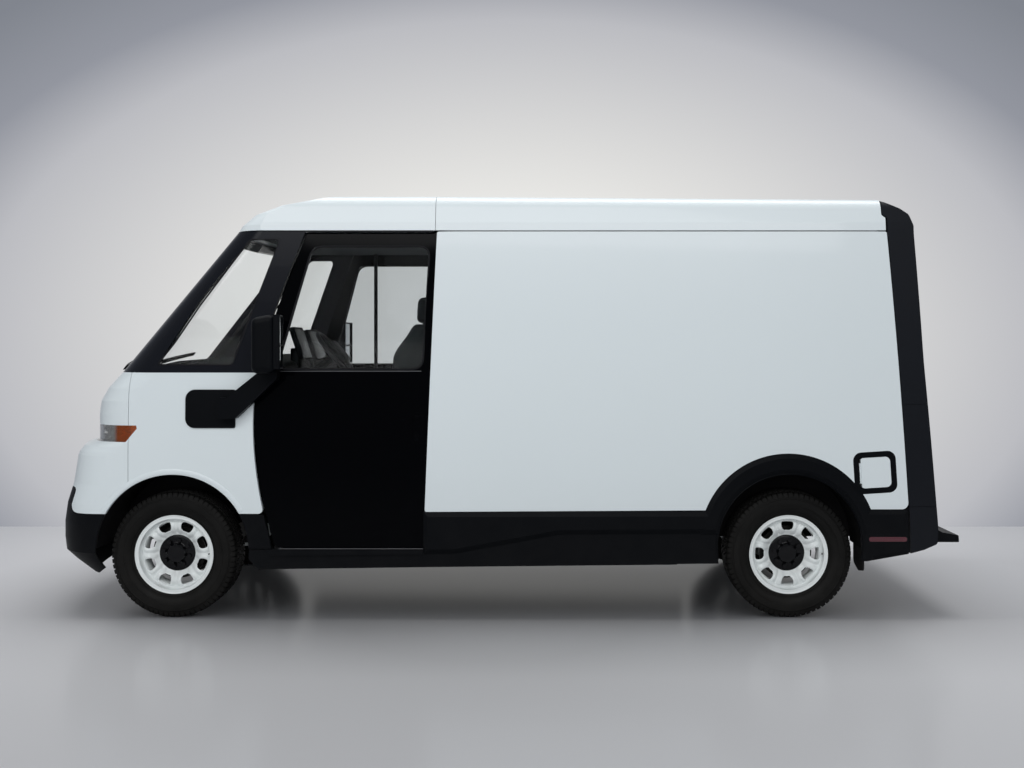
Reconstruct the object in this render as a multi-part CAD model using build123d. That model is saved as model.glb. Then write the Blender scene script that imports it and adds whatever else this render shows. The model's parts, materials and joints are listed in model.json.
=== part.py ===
"""Battery-electric cargo van: cab with sliding side doors, load body with twin rear doors.

Stations (x) run rearwards from the body datum, y to the vehicle's right and z up from the road.
Everything is modelled at its station and moved at export, so that the origin is under the middle of
the van. Lengths are in millimetres.
"""
from build123d import *
import math
import os

# Overall sizes
wheelbase = 3836
front_axle_x = 30        # behind the body datum
nose_reach = 852         # foremost point of the bumper ahead of the datum
tail_reach = 1078        # rear end of the step behind the rear axle
half_width = 1040
waist_z = 900            # the sides are plumb up to here
barrel_r = 12800         # curve of the sides above the waist
eaves_z = 2415           # top of the side panels
skirt_z = 664            # foot of the white side panels
crown_z = 2680           # top of the roof at the centre line
gap = 6                  # shut line round doors and panels
skin = 25                # outer panel with its inner frame
deck_z = 700             # load floor and cab floor
deck_t = 28
step_z = 440             # step well inside each side door

# Side doors, which slide back between the side panel and the inner wall
door_t = 45
door_inset = skin + gap  # door face behind the panel's face
door_top_z = 2404
door_foot_z = 438
door_rear_x = 1690
door_travel = 900
panel_front_top_x = 1667
panel_front_foot_x = 1598

# Load body, whose rear end stands behind the rear axle
rear_axle_x = front_axle_x + wheelbase
tail_x = rear_axle_x + tail_reach
panel_rear_top_x = rear_axle_x + 626
panel_rear_foot_x = rear_axle_x + 738
frame_rear_top_x = rear_axle_x + 796
frame_rear_mid_x = rear_axle_x + 837
frame_rear_foot_x = rear_axle_x + 922
frame_foot_z = 464
lining_t = 12
lining_inset = door_inset + door_t + gap
bulkhead_x = 1720
bulkhead_t = 25

# Wheels
tyre_r = 392
tyre_w = 265
rim_r = 228.6            # bead seat of an 18 inch wheel
flange_r = 245.5
tyre_inset = 15          # outer sidewall inside the plumb body side
kingpin_in = 70.5        # steering axis inboard of the wheel's centre plane
front_arch_r = 476
front_arch_lift = 27     # centre of the arch above the hub
rear_arch_r = 450
rear_arch_lift = 55
flare_r = 552
flare_lift = 82
flare_out = 18           # cladding proud of the body side
flare_bevel = 30         # width of the sloping edge of the cladding
stub_r = 35
running = 0.05           # radial clearance of the stub axles in the wheels
seat = 0.3               # clearance between pieces that sit on or slide over each other
liner_t = 10

# Nose: the plan outline at each height is a bowed front, two corner arcs and straight sides
front_bow_r = 2600
nose_corner_r = 300
cowl_z = 1528
cowl_x = -484
header_x = 252
shelf_z = 1030           # foot of the sloping shelf under the lamps

hub_y = half_width - tyre_inset - tyre_w / 2
kingpin_y = hub_y - kingpin_in
middle_x = (tail_x - nose_reach) / 2


def side_y(z, inset=0):
    """Half width of the body side at height z, a given depth under its surface."""
    if z <= waist_z:
        return half_width - inset
    return half_width - barrel_r + math.sqrt((barrel_r - inset) ** 2 - (z - waist_z) ** 2)


def outline(points, radius=0):
    """Closed flat outline with rounded corners; radius is one value or a list, one for each point."""
    if isinstance(radius, (int, float)) and radius == 0:
        return make_face(Polyline(*points, close=True))
    return make_face(FilletPolyline(*points, radius=radius, close=True))


def across(face, y_from, y_to):
    """Push a side-view outline (x, z) across the van."""
    plane = Plane(origin=(0, y_to, 0), x_dir=(1, 0, 0), z_dir=(0, -1, 0))
    return extrude(plane * face, amount=y_to - y_from)


def along(face, x_from, x_to):
    """Push a cross-section (y, z) along the van."""
    plane = Plane(origin=(x_from, 0, 0), x_dir=(0, 1, 0), z_dir=(1, 0, 0))
    return extrude(plane * face, amount=x_to - x_from)


def block(x_from, x_to, y_from, y_to, z_from, z_to):
    """Plain box between two corners."""
    size = (x_to - x_from, y_to - y_from, z_to - z_from)
    return Pos(x_from, y_from, z_from) * Box(*size, align=(Align.MIN, Align.MIN, Align.MIN))


def both(piece):
    """A left-hand piece and its right-hand twin, as solids that share a node."""
    return Compound(children=list(piece.solids()) + list(mirror(piece, about=Plane.XZ).solids()))


def group(*pieces):
    """Several solids that share a node."""
    return Compound(children=[s for p in pieces for s in p.solids()])


def body_core(inset, x_from, x_to, z_from, z_to):
    """Everything between the two body sides, a given depth under their surface."""
    lower = side_y(z_from, inset)
    upper = side_y(z_to, inset)
    bend_z = max(z_from, waist_z)
    mid_z = (bend_z + z_to) / 2
    mid = side_y(mid_z, inset)
    bend = side_y(bend_z, inset)
    edges = [
        Line((-lower, z_from), (lower, z_from)),
        ThreePointArc((bend, bend_z), (mid, mid_z), (upper, z_to)),
        Line((upper, z_to), (-upper, z_to)),
        ThreePointArc((-upper, z_to), (-mid, mid_z), (-bend, bend_z)),
    ]
    if bend_z > z_from:
        edges += [Line((lower, z_from), (bend, bend_z)), Line((-bend, bend_z), (-lower, z_from))]
    return along(make_face(edges), x_from, x_to)


def side_shell(inset_out, inset_in, x_from, x_to, z_from, z_to):
    """Left body side as a shell between two depths."""
    outer = body_core(inset_out, x_from, x_to, z_from, z_to)
    inner = body_core(inset_in, x_from - 1, x_to + 1, z_from - 1, z_to + 1)
    return (outer - inner) & block(x_from, x_to, -2000, 0, z_from, z_to)


# ---------------------------------------------------------------- roof and rear cross-sections

band_z = 2472            # crease between the two bands of the roof's side
corner_z = 2638
roof_corner_y = 905
roof_corner_r = 90
roof_fall = 20           # of the load body's roof, from its seam to its rear end
seam_x = 1655            # seam between the cab cap and the load body's roof
header_z = 2504          # above here the roof's end and the header set back behind a rounded edge
roof_t = 30


def roof_section(inset=0, fall=0):
    """Cross-section of the roof cap above the eaves, inset inwards and down, its top lowered by a fall."""
    foot = side_y(eaves_z + gap) - inset
    band = side_y(band_z) - inset
    corner = roof_corner_y - inset
    z_corner = corner_z - inset - fall
    crown = crown_z - inset - fall
    low = eaves_z + gap - (1 if inset else 0)
    face = make_face([
        Line((-foot, low), (foot, low)),
        Line((foot, low), (band, band_z)),
        Line((band, band_z), (corner, z_corner)),
        ThreePointArc((corner, z_corner), (0, crown), (-corner, z_corner)),
        Line((-corner, z_corner), (-band, band_z)),
        Line((-band, band_z), (-foot, low)),
    ])
    corners = [v for v in face.vertices() if v.Y > z_corner - 1]
    return fillet(corners, roof_corner_r)


def roof_run(inset, x_from, x_to):
    """Roof cap of the load body, falling slightly from its front seam to the rear."""
    plane = Plane(origin=(0, 0, 0), x_dir=(0, 1, 0), z_dir=(1, 0, 0))
    rate = roof_fall / (panel_rear_top_x - seam_x)
    faces = [Pos(x, 0, 0) * (plane * roof_section(inset, rate * (x - seam_x))) for x in (x_from, x_to)]
    return loft(faces, ruled=True)


# ---------------------------------------------------------------- plan outlines of the nose and cab

def plan_outline(z, nose_x, width, corner_r, rear_x):
    """Level outline: bowed front, corner arcs tangent to it and to the straight sides, flat rear."""
    reach = front_bow_r - corner_r
    corner_y = width - corner_r
    corner_x = nose_x + front_bow_r - math.sqrt(reach ** 2 - corner_y ** 2)
    bow_x = nose_x + front_bow_r
    dx, dy = (corner_x - bow_x) / reach, corner_y / reach
    turn = math.atan2(dy, dx)
    half_turn = (turn + math.pi / 2) / 2
    join = (bow_x + front_bow_r * dx, front_bow_r * dy)
    mid = (corner_x + corner_r * math.cos(half_turn), corner_y + corner_r * math.sin(half_turn))
    face = make_face([
        ThreePointArc((join[0], -join[1]), (nose_x, 0), join),
        ThreePointArc(join, mid, (corner_x, width)),
        Line((corner_x, width), (rear_x, width)),
        Line((rear_x, width), (rear_x, -width)),
        Line((rear_x, -width), (corner_x, -width)),
        ThreePointArc((corner_x, -width), (mid[0], -mid[1]), (join[0], -join[1])),
    ])
    return Pos(0, 0, z) * face


# Height, foremost point, half width of each level of the nose, from the chin to the cowl
nose_levels = [
    (245, -680, half_width - 140),
    (342, -782, half_width - 55),
    (407, -842, half_width),
    (487, -nose_reach, half_width),
    (589, -nose_reach, half_width),
    (703, -836, half_width),
    (827, -797, half_width),
    (1008, -768, side_y(1008)),
    (shelf_z, -757, side_y(shelf_z)),
    (shelf_z + 37, -726, side_y(shelf_z + 37)),
    (shelf_z + 75, -632, side_y(shelf_z + 75)),
    (1269, -633, side_y(1269)),
    (1349, -621, side_y(1349)),
    (1429, -575, side_y(1429)),
    (cowl_z, cowl_x, side_y(cowl_z)),
]
shelf_drop = 14          # the skin under the shelf's slope is this much thicker


def nose_core(inset, rear_x=700):
    """Everything inside the nose, a given depth under its surface."""
    faces = []
    for z, nose_x, width in nose_levels:
        corner = nose_corner_r - inset
        height = z
        if inset and shelf_z < z < shelf_z + 80:
            height = z - shelf_drop
        faces.append(plan_outline(height, nose_x + inset, width - inset, corner, rear_x))
    return loft(faces, ruled=True)


def cab_core(inset, rear_x, z_from=None, z_to=None):
    """Everything inside the glasshouse, from the cowl to the header, a given depth under its surface."""
    z_from = cowl_z if z_from is None else z_from
    z_to = eaves_z if z_to is None else z_to
    slope = (header_x - cowl_x) / (eaves_z - cowl_z)
    steps = 4
    faces = []
    for i in range(steps + 1):
        z = z_from + (z_to - z_from) * i / steps
        nose_x = cowl_x + slope * (z - cowl_z) + inset * math.hypot(1, slope)
        share = (z - cowl_z) / (eaves_z - cowl_z)
        corner = nose_corner_r - 100 * share - inset
        faces.append(plan_outline(z, nose_x, side_y(z, inset), corner, rear_x))
    return loft(faces, ruled=True)


# ---------------------------------------------------------------- shut lines seen from the side

def door_front(shift=0, drop=0):
    """Front edge of the side door: upright at the waist, raked at the glass and at the foot."""
    return Spline(
        (844 - shift, door_top_z + drop), (664 - shift, 1917), (556 - shift, 1500),
        (539 - shift, 1102), (663 - shift, door_foot_z - drop),
    )


def door_outline(margin=0, rear_x=door_rear_x):
    """Side door outline, grown by a margin for the hole that it closes."""
    edge = door_front(margin, margin)
    top, foot = edge @ 0, edge @ 1
    return make_face([
        edge,
        Line(foot, (rear_x, foot.Y)),
        Line((rear_x, foot.Y), (rear_x, top.Y)),
        Line((rear_x, top.Y), top),
    ])


door_glass_outline = outline([(881, 2321), (747, 1835), (666, 1549), (1580, 1549), (1620, 2321)], 55)
quarter_outline = outline([(-68, 1577), (190, 1987), (493, 2364), (684, 2364), (477, 1797), (398, 1577)],
                          [18, 2500, 30, 30, 200, 18])
panel_outline = outline(
    [(panel_front_top_x, eaves_z - 2), (panel_rear_top_x, eaves_z - 2),
     (panel_rear_foot_x, skirt_z + 16), (panel_front_foot_x, skirt_z)], [12, 12, 40, 12])


def front_disc(grow=0):
    """Side-view disc of the front wheel opening."""
    return Pos(front_axle_x, tyre_r + front_arch_lift) * Circle(front_arch_r + grow)


def rear_disc(grow=0):
    """Side-view disc of the rear wheel opening."""
    return Pos(rear_axle_x, tyre_r + rear_arch_lift) * Circle(rear_arch_r + grow)


front_arch = across(front_disc(), -1200, 1200)
rear_arch = across(rear_disc(), -1200, 1200)
door_zone = across(door_outline(gap, 1900), -1200, 1200)


# ---------------------------------------------------------------- body sides

charge_centre = (rear_axle_x + 530, 908)
charge_w = 265
charge_h = 260
charge_ring = 34
charge_lean = 3.6


def charge_outline(inset):
    """Rounded square of the charge port, leaning with the rear frame."""
    shape = RectangleRounded(charge_w - 2 * inset, charge_h - 2 * inset, 52 - inset * 0.6)
    return Pos(*charge_centre) * Rot(0, 0, charge_lean) * shape


def side_panels():
    """White outer panels of the load body; the left one has the hole of the charge port."""
    shell = side_shell(0, skin, panel_front_foot_x - 50, panel_rear_foot_x + 50, 600, 2500)
    panel = shell & across(panel_outline, -1200, 0)
    panel -= rear_arch
    left = panel - across(charge_outline(0), -1200, 0)
    return group(left, mirror(panel, about=Plane.XZ))


def inner_walls():
    """Bulkhead behind the seats, and the linings inboard of the pockets that the side doors slide into."""
    front_x = bulkhead_x + bulkhead_t + seat
    rear_x = panel_rear_top_x - 52
    shape = outline([(front_x, eaves_z - 20), (rear_x, eaves_z - 20), (rear_x + 105, deck_z), (front_x, deck_z)])
    lining = side_shell(lining_inset, lining_inset + lining_t, front_x, rear_x + 160, deck_z, eaves_z - 20)
    lining = (lining & across(shape, -1200, 0)) - across(rear_disc(liner_t + 2 + seat), -1200, 0)
    cant = side_shell(skin + seat, lining_inset + lining_t, front_x, rear_x, eaves_z - 20, eaves_z + gap - seat)
    cant -= side_shell(skin, lining_inset, front_x - 1, rear_x + 1, eaves_z - 25, door_top_z + gap)
    wall = body_core(lining_inset, bulkhead_x, bulkhead_x + bulkhead_t, deck_z, eaves_z - 20)
    return group(wall, both(lining + cant))


sill_z = 432


ridge_z = 530            # crease along the rocker, which drops in a long S towards the front
rocker_foot_z = 320
marker_x0, marker_x1 = rear_axle_x + 487, rear_axle_x + 722
marker_z0, marker_z1 = 482, 511


def marker_outline(margin=0):
    """Side marker lamp in the rear corner of the cladding."""
    width, height = marker_x1 - marker_x0 + 2 * margin, marker_z1 - marker_z0 + 2 * margin
    place = ((marker_x0 + marker_x1) / 2, (marker_z0 + marker_z1) / 2)
    return Pos(*place) * RectangleRounded(width, height, 12)


def cladding():
    """Dark rocker, arch flare and corner cladding of one side, and the piece behind the front wheel."""
    out = half_width + flare_out
    rear_x = rear_axle_x + 400
    body = outline([(panel_front_foot_x - 8, skirt_z), (rear_axle_x - 270, skirt_z + 4), (rear_axle_x - 270, ridge_z),
                    (2439, ridge_z - 6), (1780, 405), (panel_front_foot_x - 8, 402)], [0, 0, 0, 300, 300, 0])
    strip = outline([(640, 392), (606, sill_z), (panel_front_foot_x - 8, sill_z), (panel_front_foot_x - 8, 402)])
    rear = outline([(rear_x, 680), (panel_rear_foot_x - 4, 680), (panel_rear_foot_x + 8, 404), (rear_x + 79, 357),
                    (rear_x, 357)], [0, 0, 20, 20, 0])
    window = Pos(rear_axle_x, tyre_r + 460) * Rectangle(1400, 960)
    plane = Plane(origin=(0, -half_width, 0), x_dir=(1, 0, 0), z_dir=(0, -1, 0))
    slope = math.degrees(math.atan2(flare_bevel, flare_out))
    upper = Pos(rear_axle_x - 9, -half_width, tyre_r + flare_lift) * Rot(90, 0, 0) * Cone(
        flare_r, flare_r - flare_bevel, flare_out, align=(Align.CENTER, Align.CENTER, Align.MIN))
    upper += across(Pos(rear_axle_x - 9, tyre_r + flare_lift) * Circle(flare_r), -half_width, -half_width + skin)
    upper = upper & across(window, -out - 5, -half_width + skin + 5)
    for face in (body, rear):
        upper += across(face, -half_width, -half_width + skin) + extrude(plane * face, amount=flare_out, taper=slope)
    upper -= across(rear_disc(2), -out - 5, 0)
    upper -= Pos(rear_axle_x, -half_width, tyre_r + rear_arch_lift) * Rot(90, 0, 0) * Cone(
        rear_arch_r + 2, rear_arch_r + 2 + flare_bevel, flare_out, align=(Align.CENTER, Align.CENTER, Align.MIN))
    leg = outline([(-half_width + skin, 300), (-half_width + skin, ridge_z - 6), (-half_width, ridge_z - 6),
                   (-out - 1, ridge_z - 6 + flare_bevel * (flare_out + 1) / flare_out), (-out - 1, 300)])
    upper += across(strip, -half_width - 10, -half_width + skin)
    upper -= across(offset(panel_outline, gap / 2), -half_width, 0)
    low_edge = outline([(450, sill_z - 1), (3600, sill_z - 1), (3600, 345), (3424, 338), (1640, rocker_foot_z),
                        (560, 306)], [0, 0, 0, 20, 0, 20])
    recess = across(low_edge, -half_width + 5, -half_width + 45)
    recess += across(outline([(1606, skirt_z), (3330, skirt_z), (3330, 600), (3500, 600), (3500, sill_z - 20),
                             (1606, sill_z - 20)]),
                     -half_width + 5, -half_width + skin)
    recess += block(700, door_rear_x + door_travel + 20, -half_width + 35, -half_width + 45, sill_z - 2,
                    door_foot_z - seat)
    recess -= front_arch
    recess -= across(rear_disc(2), -1200, 0)
    side = upper + (recess - upper)
    side -= along(leg, rear_axle_x - 700, rear_axle_x)
    side -= across(marker_outline(seat), -out - 1, -out + 5)
    shield = outline([(380, 646), (600, 646), (648, sill_z + 4), (380, sill_z + 4)])
    shield = across(shield, -half_width - 6, -half_width + skin) - front_arch
    shield -= across(door_outline(gap), -1200, 0)
    return side, shield


# ---------------------------------------------------------------- nose

fender_front_x = -242
fender_foot_z = 652
lamp_top_z = 1200
lamp_foot_z = 1097
bumper_half = 945        # the bumper's dark centre rises between the white cheeks
bumper_top_z = 800
cheek_foot_z = 645
intake_half = 430
intake_bars = 4
plate_hole_pitch = 177.8
plate_hole_r = 3.25


def bumper_zone(margin=0):
    """Seen from the front: the dark bumper, with the cheeks' rounded corners beside its centre."""
    side, middle = cheek_foot_z + margin, bumper_top_z + margin
    half = bumper_half + margin
    face = outline([(-1300, 0), (-1300, side), (-half, side), (-half, middle), (half, middle), (half, side),
                    (1300, side), (1300, 0)], [0, 0, 55, 30, 30, 55, 0, 0])
    return along(face, -1000, -300)


def nose_pieces():
    """Fenders, nose panel, bumper and headlamps, split from one shell at their real seams."""
    shell = nose_core(0) - nose_core(skin)
    lamp_side = across(outline([(-700, lamp_foot_z), (-700, lamp_top_z), (-194, lamp_top_z),
                                (-190, 1180), (-238, lamp_foot_z + 26), (-260, lamp_foot_z)]), -1200, 1200)
    lamp_zone = lamp_side - across(Rectangle(6000, 6000), -420, 420)
    lamps = shell & lamp_zone
    white = shell - bumper_zone(gap) - lamp_zone - front_arch
    fender_side = (Pos(300, 1090) * Rectangle(1200, 876.2)) - (Pos(300, 300) * Rectangle(1300, 2 * (fender_foot_z - 300)))
    fender_side -= door_outline(gap, 1900)
    corner = fender_side.vertices().sort_by(lambda v: math.hypot(v.X - 620, v.Y - fender_foot_z))[0]
    fender_side = fillet(corner, 26)
    fenders = white & across(fender_side, -1200, 1200) & block(fender_front_x, 900, -1200, 1200, 0, 2000)
    panel = white - block(fender_front_x - 3, 900, -1200, 1200, 0, 2000)
    black = (shell & bumper_zone()) - front_arch
    black -= across(outline([(-505, 200), (-505, 246), (-380, 325), (-200, 325), (-200, 200)]), -1200, 1200)
    pitch = 36
    for i in range(intake_bars + 1):
        slot = SlotOverall(2 * intake_half, pitch - 12)
        black -= along(Pos(0, 330 + pitch * i) * slot, -1000, -500)
    black -= block(-900, -nose_reach + 3, -plate_hole_pitch / 2 - 30, plate_hole_pitch / 2 + 30, 505, 575)
    for y in (-plate_hole_pitch / 2, plate_hole_pitch / 2):
        black -= Pos(-nose_reach, y, 540) * Rot(0, 90, 0) * Cylinder(plate_hole_r, 100)
    return fenders, panel, black, lamps


fenders, nose_panel, front_bumper, headlamps = nose_pieces()


# ---------------------------------------------------------------- glasshouse

pillar_t = 40
glass_t = 6
windshield_half = 840


def glasshouse():
    """Black frame of the cab above the belt, and the panes that fill its openings."""
    rear_x = 1640
    shell = cab_core(0, rear_x) - cab_core(pillar_t, rear_x + 200)
    screen_cut = along(outline([(-windshield_half, cowl_z + 32), (windshield_half, cowl_z + 32),
                                (windshield_half - 70, eaves_z - 40), (-windshield_half + 70, eaves_z - 40)], 60),
                       -900, 420)
    quarter_cut = across(quarter_outline, -1200, 1200)
    flange_top = eaves_z + gap - seat
    flange = (cab_core(14, rear_x, eaves_z - 20, flange_top)
              - cab_core(pillar_t, rear_x + 200, eaves_z - 21, flange_top + 1))
    frame = shell + flange - screen_cut - quarter_cut - door_zone
    pane = cab_core(8, rear_x) - cab_core(8 + glass_t, rear_x + 200)
    panes = group(pane & screen_cut, pane & quarter_cut)
    return frame, panes


cab_frame, cab_glass = glasshouse()


# ---------------------------------------------------------------- roofs

def roofs():
    """Cab cap, blended down to the windshield, and the plain load-body cap behind it."""
    rear_x = panel_rear_top_x - 5
    rear_cut = outline([(seam_x + 3, eaves_z), (rear_x, eaves_z), (rear_x, header_z - 4), (rear_x - 24, header_z + 16),
                        (rear_x - 24, 2618), (rear_x - 60, 2642), (rear_x - 120, 2700), (seam_x + 3, 2700)],
                       [0, 0, 0, 10, 8, 60, 0, 0])
    cargo = roof_run(0, seam_x, rear_x + 20) - roof_run(roof_t, seam_x - 1, rear_x - 60)
    cargo &= across(rear_cut, -1200, 1200)
    levels = [(eaves_z + gap, header_x + 5), (2457, header_x + 26), (2530, 365), (2588, 520), (2632, 770), (2685, 1240)]
    outer = loft([plan_outline(z, x, side_y(eaves_z + gap), 200, seam_x) for z, x in levels], ruled=True)
    inner = loft([plan_outline(z - 25 if i else z - 1, x + roof_t, side_y(eaves_z + gap) - roof_t, 170, seam_x + 10)
                  for i, (z, x) in enumerate(levels)], ruled=True)
    solid = along(roof_section(), 0, seam_x) & outer
    hollow = along(roof_section(roof_t), -1, seam_x + 1) & inner
    antenna = across(outline([(1040, 2655), (1150, 2655), (1112, 2722), (1098, 2722)], [0, 0, 6, 6]), -11, 11)
    return solid - hollow + antenna, cargo


cab_roof, cargo_roof = roofs()


# ---------------------------------------------------------------- rear frame, doors and step

rear_lean = math.degrees(math.atan2(frame_rear_foot_x - frame_rear_top_x, 2404 - 566))
opening_top_z = 2420
opening_half = 900
rear_door_t = 45


rear_door_inset = 22      # the doors' faces sit this far inside the frame's rear edge
hinge_r = 8
hinge_heights = (900, 1560, 2220)


def rear_hinges(radius, length):
    """Barrels on the lean of the right-hand door's outer edge."""
    barrels = []
    for z in hinge_heights:
        x = frame_rear_foot_x - rear_door_inset - math.tan(math.radians(rear_lean)) * (z - 566)
        place = Location((x, opening_half - gap, z), (0, -rear_lean, 0))
        barrels.append(place * Cylinder(radius, length))
    return barrels


def rear_slope(depth, z_from, z_to, thick):
    """Slab that lies along the rear face of the posts, a given depth under it."""
    lean = (frame_rear_mid_x - frame_rear_foot_x) / (1598 - 566)
    x0 = frame_rear_foot_x - depth + lean * (z_from - 566)
    x1 = frame_rear_foot_x - depth + lean * (z_to - 566)
    return outline([(x0, z_from), (x1, z_to), (x1 - thick, z_to), (x0 - thick, z_from)])


lamp_y = 968             # tail lamps in the posts beside the doors
lamp_w = 74
lamp_z0, lamp_z1 = 980, 1400
lamp_depth = 26
stop_half = 190          # high stop lamp in the header
stop_z0, stop_z1 = 2440, 2466


def tail_lamp(margin=0):
    """Upright lamp in the left post; with a margin, the pocket that it sits in."""
    face = Pos(-lamp_y, (lamp_z0 + lamp_z1) / 2) * RectangleRounded(
        lamp_w + 2 * margin, lamp_z1 - lamp_z0 + 2 * margin, 30)
    slab = rear_slope(-3 - 20 * margin, lamp_z0 - 20, lamp_z1 + 20, lamp_depth + 3 + 21 * margin)
    return along(face, 4500, 4900) & across(slab, -1200, 0)


def stop_lamp(margin=0):
    """Narrow lamp over the doors."""
    return block(frame_rear_top_x - 20 - margin, frame_rear_top_x + 3.2, -stop_half - margin, stop_half + margin,
                 stop_z0 - margin, stop_z1 + margin)


def rear_frame_solid():
    """Leaning black portal round the rear doors, with the roof's section at its head."""
    front_x = panel_rear_top_x + gap
    header_x0 = panel_rear_top_x - 23
    face = outline([(front_x, eaves_z), (panel_rear_foot_x + gap, skirt_z + 16), (panel_rear_foot_x + 14, 406),
                    (frame_rear_foot_x - 90, 427), (frame_rear_foot_x - 5, frame_foot_z), (frame_rear_foot_x, 566),
                    (frame_rear_mid_x, 1598), (frame_rear_top_x, 2404), (frame_rear_top_x + 1, 2450),
                    (frame_rear_top_x - 26, 2524), (frame_rear_top_x - 80, 2562), (front_x - 4, 2603),
                    (header_x0, 2613), (header_x0, header_z + 19), (front_x, header_z)],
                   [0, 0, 0, 0, 20, 60, 4000, 800, 40, 40, 60, 60, 0, 0, 0])
    core = body_core(0, 4400, 4900, 380, eaves_z + gap) + roof_run(0, 4400, 4900)
    hole = block(4300, 5000, -opening_half, opening_half, deck_z, opening_top_z)
    low = block(4300, frame_rear_foot_x - 28, -opening_half, opening_half, 300, deck_z - 45)
    frame = (core & across(face, -1200, 1200)) - hole - low
    for barrel in rear_hinges(hinge_r + seat, 84):
        frame = frame - barrel - mirror(barrel, about=Plane.XZ)
    pocket = tail_lamp(seat)
    frame = frame - pocket - mirror(pocket, about=Plane.XZ) - stop_lamp(seat)
    for z in (695, 1330):
        groove = block(4500, 4900, -1200, 1200, z, z + 3)
        frame -= groove - block(4400, 5000, -side_y(z, 4), side_y(z, 4), z - 5, z + 5)
    return frame


def rear_door(sign):
    """One swing door in the frame, leaning with it; sign -1 is the left one."""
    foot_x = frame_rear_foot_x - rear_door_inset
    lean = math.tan(math.radians(rear_lean))
    z0, z1 = deck_z + gap, opening_top_z - gap
    x0 = foot_x - lean * (z0 - 566)
    x1 = foot_x - lean * (z1 - 566)
    slab = across(outline([(x0, z0), (x1, z1), (x1 - rear_door_t, z1), (x0 - rear_door_t, z0)]), 3, opening_half - gap)
    recess = across(outline([(x0 + 1, z0 + 90), (x1 + 1, z1 - 90), (x1 - 8, z1 - 90), (x0 - 8, z0 + 90)], 0),
                    70, opening_half - 70)
    slab -= recess
    for barrel in rear_hinges(hinge_r, 80):
        slab += barrel
    return mirror(slab, about=Plane.XZ) if sign < 0 else slab


def step_bumper():
    """Rear step: a shelf across the back, its top sloping up to the frame, on two brackets."""
    front_x = frame_rear_foot_x + seat
    face = outline([(front_x, 463), (front_x, 552), (front_x + 52, 524), (tail_x - 3, 506), (tail_x, 463)], [0, 0, 30, 8, 5])
    step = across(face, -half_width + 80, half_width - 80)
    carrier = block(frame_rear_foot_x - 228, frame_rear_foot_x - 28 - seat, -470, -400, 430, 540)
    return group(step, both(carrier))


def tail_lamps():
    """Tail lamps in the posts, the high stop lamp and the side markers in the cladding."""
    out = half_width + flare_out
    marker = across(marker_outline(), -out - 1, -out + 4.7)
    return group(both(tail_lamp()), stop_lamp(), both(marker))


flap_t = 6
flap_foot_z = 272


def mud_flaps():
    """Hanging rubber sheets on the rear edge of the wheelhouses."""
    x = rear_axle_x + rear_arch_r + 2 + liner_t + seat
    outer, inner = -half_width + skin + seat, -half_width + 276
    face = outline([(outer, 470), (inner, 470), (inner, flap_foot_z + 36), (outer - (outer - inner) / 2, flap_foot_z),
                    (outer, flap_foot_z + 22)], [0, 0, 40, 90, 30])
    return both(along(face, x, x + flap_t))


# ---------------------------------------------------------------- side doors

def side_door():
    """Left sliding door with its window opening, and the pane."""
    shell = side_shell(door_inset, door_inset + door_t, 400, 1900, 400, 2410)
    slab = shell & across(door_outline(), -1200, 0)
    window = across(door_glass_outline, -1200, 0)
    pane = side_shell(door_inset + 3, door_inset + 3 + glass_t, 400, 1900, 1500, 2400) & window
    return slab - window, pane


side_door_left, door_pane_left = side_door()


# ---------------------------------------------------------------- floor, wheelhouses and chassis

front_liner_y = kingpin_y - 282      # inboard walls of the wheelhouses, clear of the steered tyre
rear_liner_y = hub_y - tyre_w / 2 - 59
well_x0, well_x1 = 668, 1590
well_y = 640


def deck():
    """Flat floor of cab and load space with a step well inside each side door."""
    inner = side_y(deck_z) - lining_inset
    lean = (panel_rear_top_x - panel_rear_foot_x) / (eaves_z - skirt_z - 16)
    rear_x = panel_rear_foot_x + gap + lean * (deck_z - skirt_z - 16) - seat
    floor = block(-330, rear_x, -inner, inner, deck_z - deck_t, deck_z)
    for disc, y_in in ((front_disc, front_liner_y), (rear_disc, rear_liner_y)):
        cut = across(disc(liner_t + 2 + seat), -1200, -y_in + seat)
        floor = floor - cut - mirror(cut, about=Plane.XZ)
    well = block(well_x0 - 20, well_x1 + 20, -inner, -well_y + 20, step_z - 20, deck_z - deck_t)
    room = block(well_x0, well_x1, -inner - 1, -well_y, step_z, deck_z + 1)
    wells = well + mirror(well, about=Plane.XZ)
    rooms = room + mirror(room, about=Plane.XZ)
    return floor - rooms + (wells - rooms)


def wheelhouses():
    """Arch liners: half drums over the wheels, closed on the inboard side above the suspension."""
    def liner(disc, x, y_in, wall_foot_z, rim_foot_z):
        y_out = half_width - skin - seat
        drum = across(disc(liner_t + 2), -y_out, -y_in)
        drum -= across(disc(2), -y_out - 1, -y_in - liner_t)
        drum &= block(x - 700, x + 700, -y_out, -y_in, rim_foot_z, 1000)
        return drum - block(x - 700, x + 700, -y_in - liner_t, 0, 0, wall_foot_z)
    front = liner(front_disc, front_axle_x, front_liner_y, 600, 434) & nose_core(skin + seat)
    rear = liner(rear_disc, rear_axle_x, rear_liner_y, 460, 434)
    return group(both(front), both(rear))


rail_y0, rail_y1 = 400, 460
rail_z0 = 572
pad_r = 35               # jacking pads under the rails
pad_h = 10


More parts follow.
